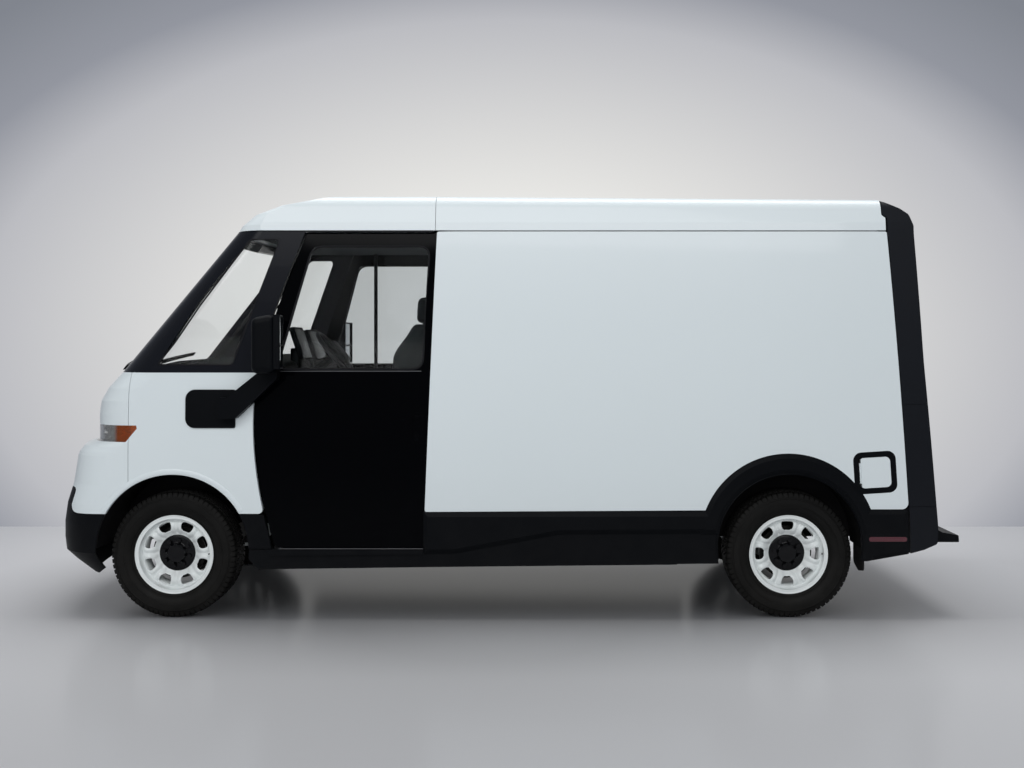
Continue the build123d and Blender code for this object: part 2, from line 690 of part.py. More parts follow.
def frame_rails():
    """Two straight rails under the deck with crossmembers and four jacking pads."""
    rail = block(-560, panel_rear_foot_x - 44, -rail_y1, -rail_y0, rail_z0, deck_z - deck_t)
    for x in (front_axle_x + 530, rear_axle_x + 634):
        rail += Pos(x, -(rail_y0 + rail_y1) / 2, rail_z0 - pad_h / 2) * Cylinder(pad_r, pad_h)
    rails = rail + mirror(rail, about=Plane.XZ)
    for x in (-560, front_axle_x + 450, rear_axle_x - 566, rear_axle_x + 614):
        rails += block(x, x + 80, -rail_y0, rail_y0, rail_z0 + 10, deck_z - deck_t - 10)
    return rails


def battery_pack():
    """Flat pack under the rails, between the step wells, with a fixing flange all round its lid."""
    half = well_y - 28
    tray = block(front_axle_x + 630, rear_axle_x - 646, -half + 20, half - 20, 340, 520)
    return tray + block(front_axle_x + 610, rear_axle_x - 626, -half, half, 520, rail_z0)


motor_r = 150
motor_w = 420


def drive_unit():
    """Motor and gearbox on the rear axle."""
    turn = Pos(rear_axle_x, 0, tyre_r) * Rot(90, 0, 0)
    motor = turn * Cylinder(motor_r, motor_w)
    gearbox = Pos(rear_axle_x - 140, -60, tyre_r + 10) * Rot(90, 0, 0) * Cylinder(110, 200)
    web = block(rear_axle_x - 140, rear_axle_x, -160, 40, tyre_r - 90, tyre_r + 110)
    return motor + gearbox + web


def rear_axle():
    """Beam, stub ends and leaf springs."""
    turn = Pos(rear_axle_x, 0, tyre_r) * Rot(90, 0, 0)
    axle = turn * Cylinder(52, 2 * (hub_y - 190)) + turn * Cylinder(stub_r, 2 * (hub_y + hub_out))
    axle -= turn * Cylinder(motor_r + seat, motor_w + 2 * seat)
    leaf = outline([(rear_axle_x - 600, rail_z0 - 24), (rear_axle_x - 500, rail_z0 - 24), (rear_axle_x, tyre_r + 14),
                    (rear_axle_x + 480, rail_z0 - 24), (rear_axle_x + 560, rail_z0 - 24), (rear_axle_x + 560, rail_z0 - seat),
                    (rear_axle_x + 480, rail_z0 - seat), (rear_axle_x, tyre_r + 40), (rear_axle_x - 500, rail_z0 - seat),
                    (rear_axle_x - 600, rail_z0 - seat)], [0, 60, 900, 60, 0, 0, 60, 900, 60, 0])
    spring = across(leaf, -rail_y1, -rail_y0) - turn * Cylinder(52 + seat, 2 * hub_y)
    return group(axle, both(spring))


knuckle_foot_z = 262
knuckle_top_z = 540
hub_out = 24             # stub ends outboard of the wheel's centre plane


def knuckle(sign):
    """Steered upright, round about its two ball joints, with its stub axle."""
    upright = block(-40, 40, -kingpin_y - 15, -kingpin_y + 35, knuckle_foot_z + 34, knuckle_top_z - 34)
    for z in (knuckle_foot_z, knuckle_top_z - 34):
        upright += Pos(0, -kingpin_y, z + 17) * Cylinder(30, 34)
    stub = Pos(0, -(kingpin_y + hub_y + hub_out) / 2, tyre_r) * Rot(90, 0, 0) * Cylinder(stub_r, hub_y + hub_out - kingpin_y)
    part = Pos(front_axle_x, 0, 0) * (upright + stub)
    return part if sign < 0 else mirror(part, about=Plane.XZ)


def front_suspension():
    """Crossmember with a wishbone above and below each knuckle."""
    beam = block(-110, 110, -rail_y0, rail_y0, 300, 420)
    side = block(-130, 130, -rail_y1, -rail_y0, 236, rail_z0 - seat)
    shape = outline([(-150, -rail_y1 + 30), (150, -rail_y1 + 30), (80, -kingpin_y + 190), (40, -kingpin_y + 60),
                     (32, -kingpin_y - 32), (-32, -kingpin_y - 32), (-40, -kingpin_y + 60), (-80, -kingpin_y + 190)],
                    [0, 0, 40, 40, 26, 26, 40, 40])
    lower = extrude(Pos(0, 0, knuckle_foot_z - seat - 26) * shape, amount=26)
    upper = extrude(Pos(0, 0, knuckle_top_z + seat) * shape, amount=22)
    half = side + lower + upper
    return Pos(front_axle_x, 0, 0) * (beam + half + mirror(half, about=Plane.XZ))


# ---------------------------------------------------------------- wheels

def wheel_parts(first_hole):
    """Tyre, eight-hole steel wheel, hub cap and brake disc about the origin, outboard face towards -y."""
    half = tyre_w / 2
    carcass = make_face(FilletPolyline(
        (rim_r, 94), (flange_r + 3, 96), (262, 118), (310, half), (372, 121), (tyre_r, 100),
        (tyre_r, -100), (372, -121), (310, -half), (262, -118), (flange_r + 3, -96), (rim_r, -94),
        (rim_r, -74), (rim_r + 18, -76), (306, -112), (366, -90), (366, 90), (306, 112), (rim_r + 18, 76), (rim_r, 74),
        radius=[0, 0, 12, 50, 20, 14, 14, 20, 50, 12] + [0] * 10, close=True))
    tyre = revolve(carcass, axis=Axis.Y)
    rim = make_face(Polyline(
        (flange_r, 108), (flange_r, 97), (rim_r, 95), (rim_r, 68), (206, 52), (206, -40), (rim_r, -62), (rim_r, -95),
        (flange_r, -97), (flange_r, -108), (rim_r - 8, -106), (rim_r - 8, -60), (198, -36), (198, 50),
        (rim_r - 8, 70), (rim_r - 8, 106), close=True))
    disc = make_face(FilletPolyline(
        (205, -42), (205, -54), (172, -66), (158, -62), (cap_r + 8, -30), (stub_r + running, -30),
        (stub_r + running, -20), (cap_r + 12, -20), (156, -50), (172, -54),
        radius=[0, 0, 10, 12, 8, 0, 0, 8, 12, 8], close=True))
    wheel = revolve(rim, axis=Axis.Y) + revolve(disc, axis=Axis.Y)
    hole = extrude(Plane.XZ * outline([(157, -24), (157, 24), (200, 34), (200, -34)], [10, 10, 12, 12]), amount=120)
    for k in range(8):
        wheel -= Rot(0, 45 * k + first_hole, 0) * hole
    cap = revolve(make_face(FilletPolyline(
        (0, -40), (78, -40), (84, -46), (cap_r - 12, -46), (cap_r, -36), (cap_r, -30 - seat), (0, -30 - seat),
        radius=[0, 4, 4, 8, 3, 0, 0], close=True)), axis=Axis.Y)
    brake = revolve(make_face(Polyline(
        (stub_r + running, -20 + seat), (70, -20 + seat), (70, -2), (165, -2), (165, 22), (stub_r + running, 22),
        close=True)), axis=Axis.Y)
    return tyre, group(wheel, cap, brake)


cap_r = 113              # hub cap over the wheel's fixings
tyre_solid, front_wheel = wheel_parts(22.5)
rear_wheel = wheel_parts(0)[1]


# ---------------------------------------------------------------- cab fittings

dash_rear_x = 700


def dashboard():
    """Dash across the cab over a firewall that stands on the floor ahead of the footwell."""
    face = outline([(-200, deck_z), (-200, 1130), (-420, 1180), (-420, 1500), (40, 1600), (560, 1640),
                    (dash_rear_x, 1580), (dash_rear_x, 1400), (560, 1230), (300, 1130), (60, 1080), (60, deck_z)],
                   [0, 40, 40, 40, 60, 60, 40, 60, 80, 80, 60, 0])
    core = nose_core(60) + cab_core(60, 1600)
    body = across(face, -half_width + 110, half_width - 110) & core
    cut = front_disc(liner_t + 2 + seat)
    return body - across(cut, -1200, -front_liner_y + seat) - across(cut, front_liner_y - seat, 1200)


seat_y = 450


def seats():
    """Driver's and passenger's seats: cushion, back, headrest and pedestal."""
    cushion = across(outline([(960, 1060), (960, 1180), (1480, 1180), (1480, 1060)], 30), -seat_y - 250, -seat_y + 250)
    back = across(outline([(1310, 1180.3), (1365, 1600), (1478, 1840), (1590, 1840), (1480, 1180.3)], [30, 200, 30, 30, 30]), -seat_y - 240, -seat_y + 240)
    head = across(outline([(1490, 1840.3), (1500, 2017), (1590, 2017), (1580, 1840.3)], 25), -seat_y - 130, -seat_y + 130)
    base = block(1000, 1380, -seat_y - 200, -seat_y + 180, deck_z, 1060)
    seat = group(cushion, back, head, base)
    return both(seat)


def steering_wheel():
    """Rim, spokes and column."""
    centre = (940, 1640)
    rim = Torus(178, 13)
    hub = Cylinder(50, 40)
    spoke = Box(2 * 170, 30, 12)
    column = Pos(0, 0, -170) * Cylinder(28, 340)
    wheel = Pos(centre[0], -seat_y, centre[1]) * Rot(0, 50, 0) * (rim + hub + spoke + column)
    return wheel - block(0, dash_rear_x + seat, -900, 0, 0, 3000)


def mirrors():
    """Base plate on the fender, arm and upright head."""
    plate = side_shell(-10, 0, 60, 460, 1150, 1450) & across(
        outline([(113, 1184), (113, 1423), (423, 1423), (423, 1184)], [60, 60, 12, 12]), -1200, 0)
    arm = across(outline([(330, 1246), (330, 1373), (390, 1377), (600, 1545), (700, 1545), (700, 1495), (574, 1373),
                          (440, 1246)], [20, 20, 60, 20, 10, 10, 60, 20]), -half_width - 80, -half_width - 2)
    head = across(outline([(585, 1528), (585, 1859), (728, 1891), (731, 1528)], 40), -half_width - 290, -half_width - 65)
    edge = head.edges().filter_by(GeomType.LINE).filter_by(Axis.Z)
    head = fillet(edge.sort_by(Axis.Y)[:2], 40)
    return both(plate + arm + head)


wiper_w = 26


def wipers():
    """Two wiper arms with their blades, lying on the windshield's lower edge and glass."""
    layer = cab_core(-16, 1000) - cab_core(-seat, 1000)
    parts = []
    for y in (-690, 60):
        strip = outline([(y, cowl_z + 12), (y + 560, cowl_z + 92), (y + 560, cowl_z + 92 + wiper_w),
                         (y - 20, cowl_z + 12 + wiper_w + 10)], [4, 8, 8, 12])
        parts.append(layer & along(strip, -900, 400))
    return group(*parts)


charge_hinge_r = 6       # barrel along the flap's front edge
charge_gap = 2           # shut line round the flap
charge_hinge_y = -half_width + charge_hinge_r


def charge_port():
    """Surround, notched where the flare passes it, and the flap with its hinge barrel."""
    shell = side_shell(0, skin, charge_centre[0] - 300, charge_centre[0] + 300, 600, 1200)
    ring = shell & across(charge_outline(seat) - charge_outline(charge_ring), -1200, 0)
    flap = shell & across(charge_outline(charge_ring + charge_gap), -1200, 0)
    half = charge_w / 2 - charge_ring - charge_gap
    place = Pos(charge_centre[0], 0, charge_centre[1]) * Rot(0, -charge_lean, 0)
    ring -= place * Pos(-half + 14, -half_width, 0) * Box(34, 14, charge_h - 2 * charge_ring + 1)
    flap -= place * Pos(-half - 45 + charge_hinge_r, -half_width, 0) * Box(100, 200, 400)
    flap += place * Pos(-half + charge_hinge_r, charge_hinge_y, 0) * Cylinder(charge_hinge_r, charge_h - 2 * charge_ring - 66)
    return ring, flap


# ---------------------------------------------------------------- collect and export

clad_side, clad_shield = cladding()
charge_surround, charge_flap = charge_port()
charge_surround -= clad_side

nodes = {
    "deck": deck(),
    "wheelhouses": wheelhouses(),
    "frame_rails": frame_rails(),
    "battery_pack": battery_pack(),
    "drive_unit": drive_unit(),
    "rear_axle": rear_axle(),
    "front_suspension": front_suspension(),
    "nose_panel": nose_panel,
    "fenders": fenders,
    "front_bumper": front_bumper,
    "headlamps": headlamps,
    "cab_frame": cab_frame,
    "cab_glass": cab_glass,
    "cab_roof": cab_roof,
    "cargo_roof": cargo_roof,
    "side_panels": side_panels(),
    "inner_walls": inner_walls(),
    "cladding": group(both(clad_side), both(clad_shield)),
    "rear_frame": rear_frame_solid(),
    "step_bumper": step_bumper(),
    "tail_lamps": tail_lamps(),
    "mud_flaps": mud_flaps(),
    "wipers": wipers(),
    "dashboard": dashboard(),
    "steering_wheel": steering_wheel(),
    "seats": seats(),
    "mirrors": mirrors(),
    "charge_surround": charge_surround,
    "charge_flap": charge_flap,
    "door_left": side_door_left,
    "door_right": mirror(side_door_left, about=Plane.XZ),
    "door_glass_left": door_pane_left,
    "door_glass_right": mirror(door_pane_left, about=Plane.XZ),
    "rear_door_left": rear_door(-1),
    "rear_door_right": rear_door(1),
    "knuckle_left": knuckle(-1),
    "knuckle_right": knuckle(1),
}
for end, axle_x, wheel_solid in (("front", front_axle_x, front_wheel), ("rear", rear_axle_x, rear_wheel)):
    for hand in ("left", "right"):
        for kind, solid in (("tyre", tyre_solid), ("wheel", wheel_solid)):
            piece = Pos(axle_x, -hub_y, tyre_r) * solid
            nodes[f"{kind}_{end}_{hand}"] = piece if hand == "left" else mirror(piece, about=Plane.XZ)

os.makedirs("parts", exist_ok=True)
for name, piece in nodes.items():
    export_step(Pos(-middle_x, 0, 0) * piece, f"parts/{name}.step")
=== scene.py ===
"""Battery-electric cargo van: the looks of its body, glass, wheels, lamps, cab and load space."""
import json
import math

import bmesh
import bpy
from mathutils import Matrix, Vector
from mathutils.bvhtree import BVHTree

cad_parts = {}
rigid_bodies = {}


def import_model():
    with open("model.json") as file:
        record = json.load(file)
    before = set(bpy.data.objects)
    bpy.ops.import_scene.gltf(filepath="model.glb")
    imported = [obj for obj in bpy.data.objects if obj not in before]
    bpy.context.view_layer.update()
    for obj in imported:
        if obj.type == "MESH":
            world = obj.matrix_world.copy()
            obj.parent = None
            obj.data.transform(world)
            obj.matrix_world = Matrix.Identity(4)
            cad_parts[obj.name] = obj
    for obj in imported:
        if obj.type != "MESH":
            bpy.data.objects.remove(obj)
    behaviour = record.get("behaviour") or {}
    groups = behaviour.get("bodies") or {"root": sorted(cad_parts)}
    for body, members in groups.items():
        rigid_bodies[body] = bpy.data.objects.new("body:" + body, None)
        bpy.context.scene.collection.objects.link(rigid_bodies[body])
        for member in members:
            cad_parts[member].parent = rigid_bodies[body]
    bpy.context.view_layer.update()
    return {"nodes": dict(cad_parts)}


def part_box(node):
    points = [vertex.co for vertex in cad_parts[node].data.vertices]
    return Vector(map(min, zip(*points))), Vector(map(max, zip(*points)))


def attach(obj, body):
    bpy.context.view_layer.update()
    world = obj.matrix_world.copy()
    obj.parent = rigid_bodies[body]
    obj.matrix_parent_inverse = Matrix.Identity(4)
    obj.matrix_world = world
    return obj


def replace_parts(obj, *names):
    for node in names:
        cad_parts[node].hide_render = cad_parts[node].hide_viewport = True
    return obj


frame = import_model()
nodes = frame["nodes"]
shown = bpy.context.scene.collection.objects

# ---------------------------------------------------------------- studio
# A grey resin floor with painted light and shade, darker round the van and paler away from it, in front of a plastered
# wall that glows from its middle.
# One wide soft lamp hangs overhead, one high along each side, and a low fill stands along each side.
floor_mesh = bpy.data.meshes.new("studio_floor")
floor_half = 40
floor_mesh.from_pydata([(-floor_half, -floor_half, 0), (floor_half, -floor_half, 0),
                        (floor_half, floor_half, 0), (-floor_half, floor_half, 0)], [], [(0, 1, 2, 3)])
floor = bpy.data.objects.new("studio_floor", floor_mesh)
shown.link(floor)


def pool_of_light(tree, location, scale):
    """Round falloff from 1 at the middle of a floor or wall; gives its output socket."""
    where = tree.nodes.new("ShaderNodeTexCoord")
    spread = tree.nodes.new("ShaderNodeMapping")
    spread.inputs["Location"].default_value = location
    spread.inputs["Scale"].default_value = scale
    falloff = tree.nodes.new("ShaderNodeTexGradient")
    falloff.gradient_type = "SPHERICAL"
    tree.links.new(where.outputs["Object"], spread.inputs[0])
    tree.links.new(spread.outputs[0], falloff.inputs[0])
    return falloff.outputs["Fac"]


resin = bpy.data.materials.new("floor_resin")
resin.use_nodes = True
resin_shader = resin.node_tree.nodes["Principled BSDF"]
# Painted shade and light: the floor's grey runs from a darker shade round the van to a paler grey away from it.
tint = resin.node_tree.nodes.new("ShaderNodeValToRGB")
lit_floor_grey, shaded_floor_grey = tint.color_ramp.elements
lit_floor_grey.color = (0.92, 0.92, 0.94, 1)
shaded_floor_grey.color = (0.56, 0.56, 0.57, 1)
shaded_floor_grey.position = 0.8
resin.node_tree.links.new(pool_of_light(resin.node_tree, (0, 0.25, 0), (0.24, 0.22, 0)), tint.inputs[0])
resin.node_tree.links.new(tint.outputs[0], resin_shader.inputs["Base Color"])
resin_shader.inputs["Roughness"].default_value = 0.20
resin_shader.inputs["Specular IOR Level"].default_value = 0.03
floor_mesh.materials.append(resin)

wall_y, wall_half, wall_top = 2.72, 22, 9
wall_mesh = bpy.data.meshes.new("studio_wall")
wall_mesh.from_pydata([(-wall_half, wall_y, 0), (wall_half, wall_y, 0), (wall_half, wall_y, wall_top),
                       (-wall_half, wall_y, wall_top)], [], [(0, 1, 2, 3)])
wall = bpy.data.objects.new("studio_wall", wall_mesh)
shown.link(wall)
plaster = bpy.data.materials.new("wall_plaster")
plaster.use_nodes = True
tree = plaster.node_tree
tree.nodes.clear()
ramp = tree.nodes.new("ShaderNodeValToRGB")
for position, colour in ((0.30, (0.22, 0.235, 0.27)), (0.415, (0.292, 0.305, 0.347)), (0.50, (0.50, 0.505, 0.535)),
                         (0.77, (0.79, 0.785, 0.765)), (1.0, (0.85, 0.845, 0.82))):
    stop = ramp.color_ramp.elements.new(position)
    stop.color = (*colour, 1)
ramp.color_ramp.elements.remove(ramp.color_ramp.elements[0])
ramp.color_ramp.elements.remove(ramp.color_ramp.elements[-1])
light = tree.nodes.new("ShaderNodeEmission")
clear = tree.nodes.new("ShaderNodeBsdfTransparent")
path = tree.nodes.new("ShaderNodeLightPath")
side = tree.nodes.new("ShaderNodeNewGeometry")
direct, seen, front = [tree.nodes.new("ShaderNodeMath") for _ in range(3)]
direct.operation = seen.operation = "MAXIMUM"
front.operation = "SUBTRACT"
front.use_clamp = True
mix = tree.nodes.new("ShaderNodeMixShader")
out = tree.nodes.new("ShaderNodeOutputMaterial")
# The wall glows for what looks at it, mirrors it or sees it through glass, and only from its front
for a, b in ((pool_of_light(tree, (0.003, 0, -0.306), (0.10, 0, 0.17)), ramp.inputs[0]),
             (ramp.outputs[0], light.inputs[0]),
             (path.outputs["Is Camera Ray"], direct.inputs[0]), (path.outputs["Is Glossy Ray"], direct.inputs[1]),
             (direct.outputs[0], seen.inputs[0]), (path.outputs["Is Transmission Ray"], seen.inputs[1]),
             (seen.outputs[0], front.inputs[0]), (side.outputs["Backfacing"], front.inputs[1]),
             (front.outputs[0], mix.inputs[0]), (clear.outputs[0], mix.inputs[1]), (light.outputs[0], mix.inputs[2]),
             (mix.outputs[0], out.inputs[0])):
    tree.links.new(a, b)
wall_mesh.materials.append(plaster)

world = bpy.context.scene.world or bpy.data.worlds.new("studio")
bpy.context.scene.world = world
world.use_nodes = True
background = world.node_tree.nodes["Background"]
background.inputs["Color"].default_value = (0.62, 0.64, 0.67, 1)
background.inputs["Strength"].default_value = 0.45

for name, place, aim, size, power in (
        ("overhead", (0, 0, 6.5), (0, 0, 0), (9, 2.6), 255),
        ("left_side", (-0.9, -9, 6.4), (0, 0, 1.0), (11, 3.0), 380),
        ("right_side", (-0.9, 9, 6.4), (0, 0, 1.0), (11, 3.0), 380),
        ("left_fill", (-1.2, -10, 1.6), (0, 0, 1.3), (11, 2.6), 215),
        ("right_fill", (-1.2, 10, 1.6), (0, 0, 1.3), (11, 2.6), 215)):
    lamp = bpy.data.lights.new(name, "AREA")
    lamp.shape = "RECTANGLE"
    lamp.size, lamp.size_y = size
    lamp.energy = power
    holder = bpy.data.objects.new(name, lamp)
    shown.link(holder)
    holder.location = place
    holder.rotation_euler = (Vector(aim) - Vector(place)).to_track_quat("-Z", "Y").to_euler()
    if name != "overhead":
        # The side lamps leave the floor dark under the body, and the low fills make no highlights
        holder.visible_glossy = "fill" not in name
        shade = bpy.data.collections.new(name + "_shade")
        holder.light_linking.receiver_collection = shade
        shade.objects.link(floor)
        shade.collection_objects[0].light_linking.link_state = "EXCLUDE"

lens = bpy.data.cameras.new("side_view")
camera = bpy.data.objects.new("side_view", lens)
shown.link(camera)
camera.location = (0.3306, -8.44, 1.70)
camera.rotation_euler = (math.radians(90), 0, 0)
lens.sensor_width = 36
lens.lens = 41.906
lens.shift_x, lens.shift_y = -0.037109375, -0.0380859375
bpy.context.scene.camera = camera
bpy.context.scene.view_settings.view_transform = "Standard"


# ---------------------------------------------------------------- white painted panels
# Composite and steel outer panels of the nose, roof, load body, rear doors and charge flap, sprayed in
# one cool white with a clear coat. The gloss has a faint orange peel and the skirts carry a little road film.
def shade_group(name, inputs, outputs):
    """Empty shader group with named sockets, its input node and its output node."""
    group = bpy.data.node_groups.new(name, "ShaderNodeTree")
    for label, kind, value in inputs:
        group.interface.new_socket(label, in_out="INPUT", socket_type=kind).default_value = value
    for label, kind in outputs:
        group.interface.new_socket(label, in_out="OUTPUT", socket_type=kind)
    return group, group.nodes.new("NodeGroupInput"), group.nodes.new("NodeGroupOutput")


def math_node(group, operation, a, b=None, clamp=False):
    """Math node whose inputs are numbers or sockets; gives its output socket."""
    node = group.nodes.new("ShaderNodeMath")
    node.operation = operation
    node.use_clamp = clamp
    for i, value in enumerate((a, b)):
        if isinstance(value, (int, float)):
            node.inputs[i].default_value = value
        elif value is not None:
            group.links.new(value, node.inputs[i])
    return node.outputs[0]


def mix_node(group, share, a, b):
    """Colour mix; gives its output socket."""
    node = group.nodes.new("ShaderNodeMix")
    node.data_type = "RGBA"
    for socket, value in ((node.inputs[0], share), (node.inputs[6], a), (node.inputs[7], b)):
        if isinstance(value, tuple):
            socket.default_value = (*value, 1)
        elif isinstance(value, (int, float)):
            socket.default_value = value
        else:
            group.links.new(value, socket)
    return node.outputs[2]


def noise_node(group, size, detail=3.0, stretch=None):
    """Noise over the piece's own coordinates, with features of a given size in metres."""
    place = group.nodes.new("ShaderNodeTexCoord").outputs["Object"]
    if stretch:
        mapping = group.nodes.new("ShaderNodeMapping")
        mapping.inputs["Scale"].default_value = stretch
        group.links.new(place, mapping.inputs[0])
        place = mapping.outputs[0]
    node = group.nodes.new("ShaderNodeTexNoise")
    node.inputs["Detail"].default_value = detail
    group.links.new(place, node.inputs["Vector"])
    if isinstance(size, (int, float)):
        node.inputs["Scale"].default_value = 1 / size
    else:
        group.links.new(math_node(group, "DIVIDE", 1.0, size), node.inputs["Scale"])
    return node.outputs["Fac"]


# Slow drift of tone over a large moulding or panel
tone_drift, enter, leave = shade_group("tone_drift", (
    ("Colour", "NodeSocketColor", (0.5, 0.5, 0.5, 1)), ("Size", "NodeSocketFloat", 0.4),
    ("Amount", "NodeSocketFloat", 0.08)), (("Colour", "NodeSocketColor"), ("Mask", "NodeSocketFloat")))
cloud = noise_node(tone_drift, enter.outputs["Size"], 2.0)
darker = tone_drift.nodes.new("ShaderNodeHueSaturation")
tone_drift.links.new(enter.outputs["Colour"], darker.inputs["Color"])
tone_drift.links.new(math_node(tone_drift, "SUBTRACT", 1.0, math_node(
    tone_drift, "MULTIPLY", cloud, enter.outputs["Amount"])), darker.inputs["Value"])
tone_drift.links.new(darker.outputs[0], leave.inputs["Colour"])
tone_drift.links.new(cloud, leave.inputs["Mask"])

# Pebbled grain of moulded plastic and rubber, or orange peel of paint when it is large and shallow
moulded_grain, enter, leave = shade_group("moulded_grain", (
    ("Size", "NodeSocketFloat", 0.002), ("Pebbles", "NodeSocketFloat", 0.5)), (
    ("Height", "NodeSocketFloat"), ("Mask", "NodeSocketFloat")))
fine = noise_node(moulded_grain, enter.outputs["Size"], 4.0)
cells = moulded_grain.nodes.new("ShaderNodeTexVoronoi")
where = moulded_grain.nodes.new("ShaderNodeTexCoord")
moulded_grain.links.new(where.outputs["Object"], cells.inputs["Vector"])
moulded_grain.links.new(math_node(moulded_grain, "DIVIDE", 0.7, enter.outputs["Size"]), cells.inputs["Scale"])
pebble = math_node(moulded_grain, "MULTIPLY", cells.outputs["Distance"], enter.outputs["Pebbles"])
moulded_grain.links.new(math_node(moulded_grain, "ADD", fine, pebble), leave.inputs["Height"])
moulded_grain.links.new(fine, leave.inputs["Mask"])

# Pale road film that thickens towards the ground and breaks up in patches
road_film, enter, leave = shade_group("road_film", (
    ("Colour", "NodeSocketColor", (0.5, 0.5, 0.5, 1)), ("Film", "NodeSocketColor", (0.16, 0.15, 0.14, 1)),
    ("Reach", "NodeSocketFloat", 0.9), ("Amount", "NodeSocketFloat", 0.2)), (
    ("Colour", "NodeSocketColor"), ("Mask", "NodeSocketFloat")))
place = road_film.nodes.new("ShaderNodeTexCoord")
split = road_film.nodes.new("ShaderNodeSeparateXYZ")
road_film.links.new(place.outputs["Object"], split.inputs[0])
rise = math_node(road_film, "DIVIDE", split.outputs[2], enter.outputs["Reach"])
lowness = math_node(road_film, "SUBTRACT", 1.0, rise, True)
patch = math_node(road_film, "MULTIPLY", noise_node(road_film, 0.09, 6.0), 1.6, True)
mask = math_node(road_film, "MULTIPLY", math_node(road_film, "MULTIPLY", lowness, patch), enter.outputs["Amount"], True)
road_film.links.new(mix_node(road_film, mask, enter.outputs["Colour"], enter.outputs["Film"]), leave.inputs["Colour"])
road_film.links.new(mask, leave.inputs["Mask"])


def place_group(tree, group, **values):
    """A shader group placed in a material with its own values."""
    node = tree.nodes.new("ShaderNodeGroup")
    node.node_tree = group
    for label, value in values.items():
        if isinstance(value, bpy.types.NodeSocket):
            tree.links.new(value, node.inputs[label])
        else:
            node.inputs[label].default_value = (*value, 1) if isinstance(value, tuple) else value
    return node


def principled(name, **sockets):
    """New material with values on its Principled shader; gives the material, its tree and the shader."""
    material = bpy.data.materials.new(name)
    material.use_nodes = True
    shader = material.node_tree.nodes["Principled BSDF"]
    for socket, value in sockets.items():
        shader.inputs[socket.replace("_", " ")].default_value = value
    return material, material.node_tree, shader


def relief(tree, shader, height, strength):
    """Bump up to a millimetre deep on a shader."""
    bump = tree.nodes.new("ShaderNodeBump")
    bump.inputs["Strength"].default_value = strength
    bump.inputs["Distance"].default_value = 0.001
    tree.links.new(height, bump.inputs["Height"])
    tree.links.new(bump.outputs[0], shader.inputs["Normal"])


def finish(name, colour, roughness=0.5, drift=0.08, drift_size=0.4, grain=0.0, grain_size=0.002, film=0.0,
           spread=0.1, **sockets):
    """Coated or moulded surface: drift of tone, road film, grain, and roughness that follows them."""
    material, tree, shader = principled(name, **sockets)
    tone = place_group(tree, tone_drift, Colour=colour, Size=drift_size, Amount=drift)
    base, mask = tone.outputs["Colour"], tone.outputs["Mask"]
    if film:
        dust = place_group(tree, road_film, Colour=base, Amount=film)
        base = dust.outputs["Colour"]
        mask = math_node(tree, "ADD", mask, dust.outputs["Mask"])
    tree.links.new(base, shader.inputs["Base Color"])
    tree.links.new(math_node(tree, "ADD", roughness - spread / 2, math_node(tree, "MULTIPLY", mask, spread), True),
                   shader.inputs["Roughness"])
    if grain:
        relief(tree, shader, place_group(tree, moulded_grain, Size=grain_size).outputs["Height"], grain)
    return material


def dress(material, *names):
    """Give CAD nodes a finish through their material slot."""
    for name in names:
        mesh = nodes[name].data
        mesh.materials.clear()
        mesh.materials.append(material)


white_paint = finish("white_paint", (0.70, 0.765, 0.79), 0.30, drift=0.03, drift_size=1.2, grain=0.03,
                     grain_size=0.006, film=0.10, Specular_IOR_Level=0.3, Coat_Weight=0.25, Coat_Roughness=0.06)
dress(white_paint, "nose_panel", "fenders", "cab_roof", "cargo_roof", "side_panels", "rear_door_left",
      "rear_door_right", "charge_flap")

# ---------------------------------------------------------------- dark cladding
# Bumper, rockers, arch flares, rear portal and step are moulded in blue-black plastic with a fine grain,
# clipped over the body. The grain catches dust low down and goes a shade paler there. A flat plate closes the
# side between rocker and rear wheel.
cladding_plastic = finish("cladding_plastic", (0.0014, 0.0021, 0.0034), 0.46, drift=0.25, drift_size=0.5, grain=0.35,
                          grain_size=0.0016, film=0.03, spread=0.12, Specular_IOR_Level=0.10)
dress(cladding_plastic, "front_bumper", "cladding", "step_bumper", "mirrors", "charge_surround")
# Painted light: the rear portal is the same plastic in a paler copy, lighter only to stand for the light falling on it.
portal_plastic_lit_copy = finish("portal_plastic_lit_copy", (0.0070, 0.0084, 0.0120), 0.50, drift=0.25, drift_size=0.6, grain=0.3,
                        grain_size=0.0016, film=0.03, spread=0.1, Specular_IOR_Level=0.14)
dress(portal_plastic_lit_copy, "rear_frame")

origin_x = 2046  # the frame's origin, in millimetres behind the body datum


def station(x, y, z):
    """Point given as on the van's drawing: millimetres behind the body datum, to the right and above the road."""
    return Vector(((x - origin_x) / 1000, y / 1000, z / 1000))


def station_of(x):
    """Millimetres behind the body datum of a place in metres."""
    return x * 1000 + origin_x


def piece(name, bm, material, body, slot, sharp=35):
    """Finished mesh as an object at the origin that rides on a body."""
    mesh = bpy.data.meshes.new(name)
    bm.to_mesh(mesh)
    bm.free()
    mesh.shade_smooth()
    mesh.set_sharp_from_angle(angle=math.radians(sharp))
    mesh.materials.clear()
    mesh.materials.append(material)
    made = bpy.data.objects.new(name, mesh)
    shown.link(made)
    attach(made, body)
    return made


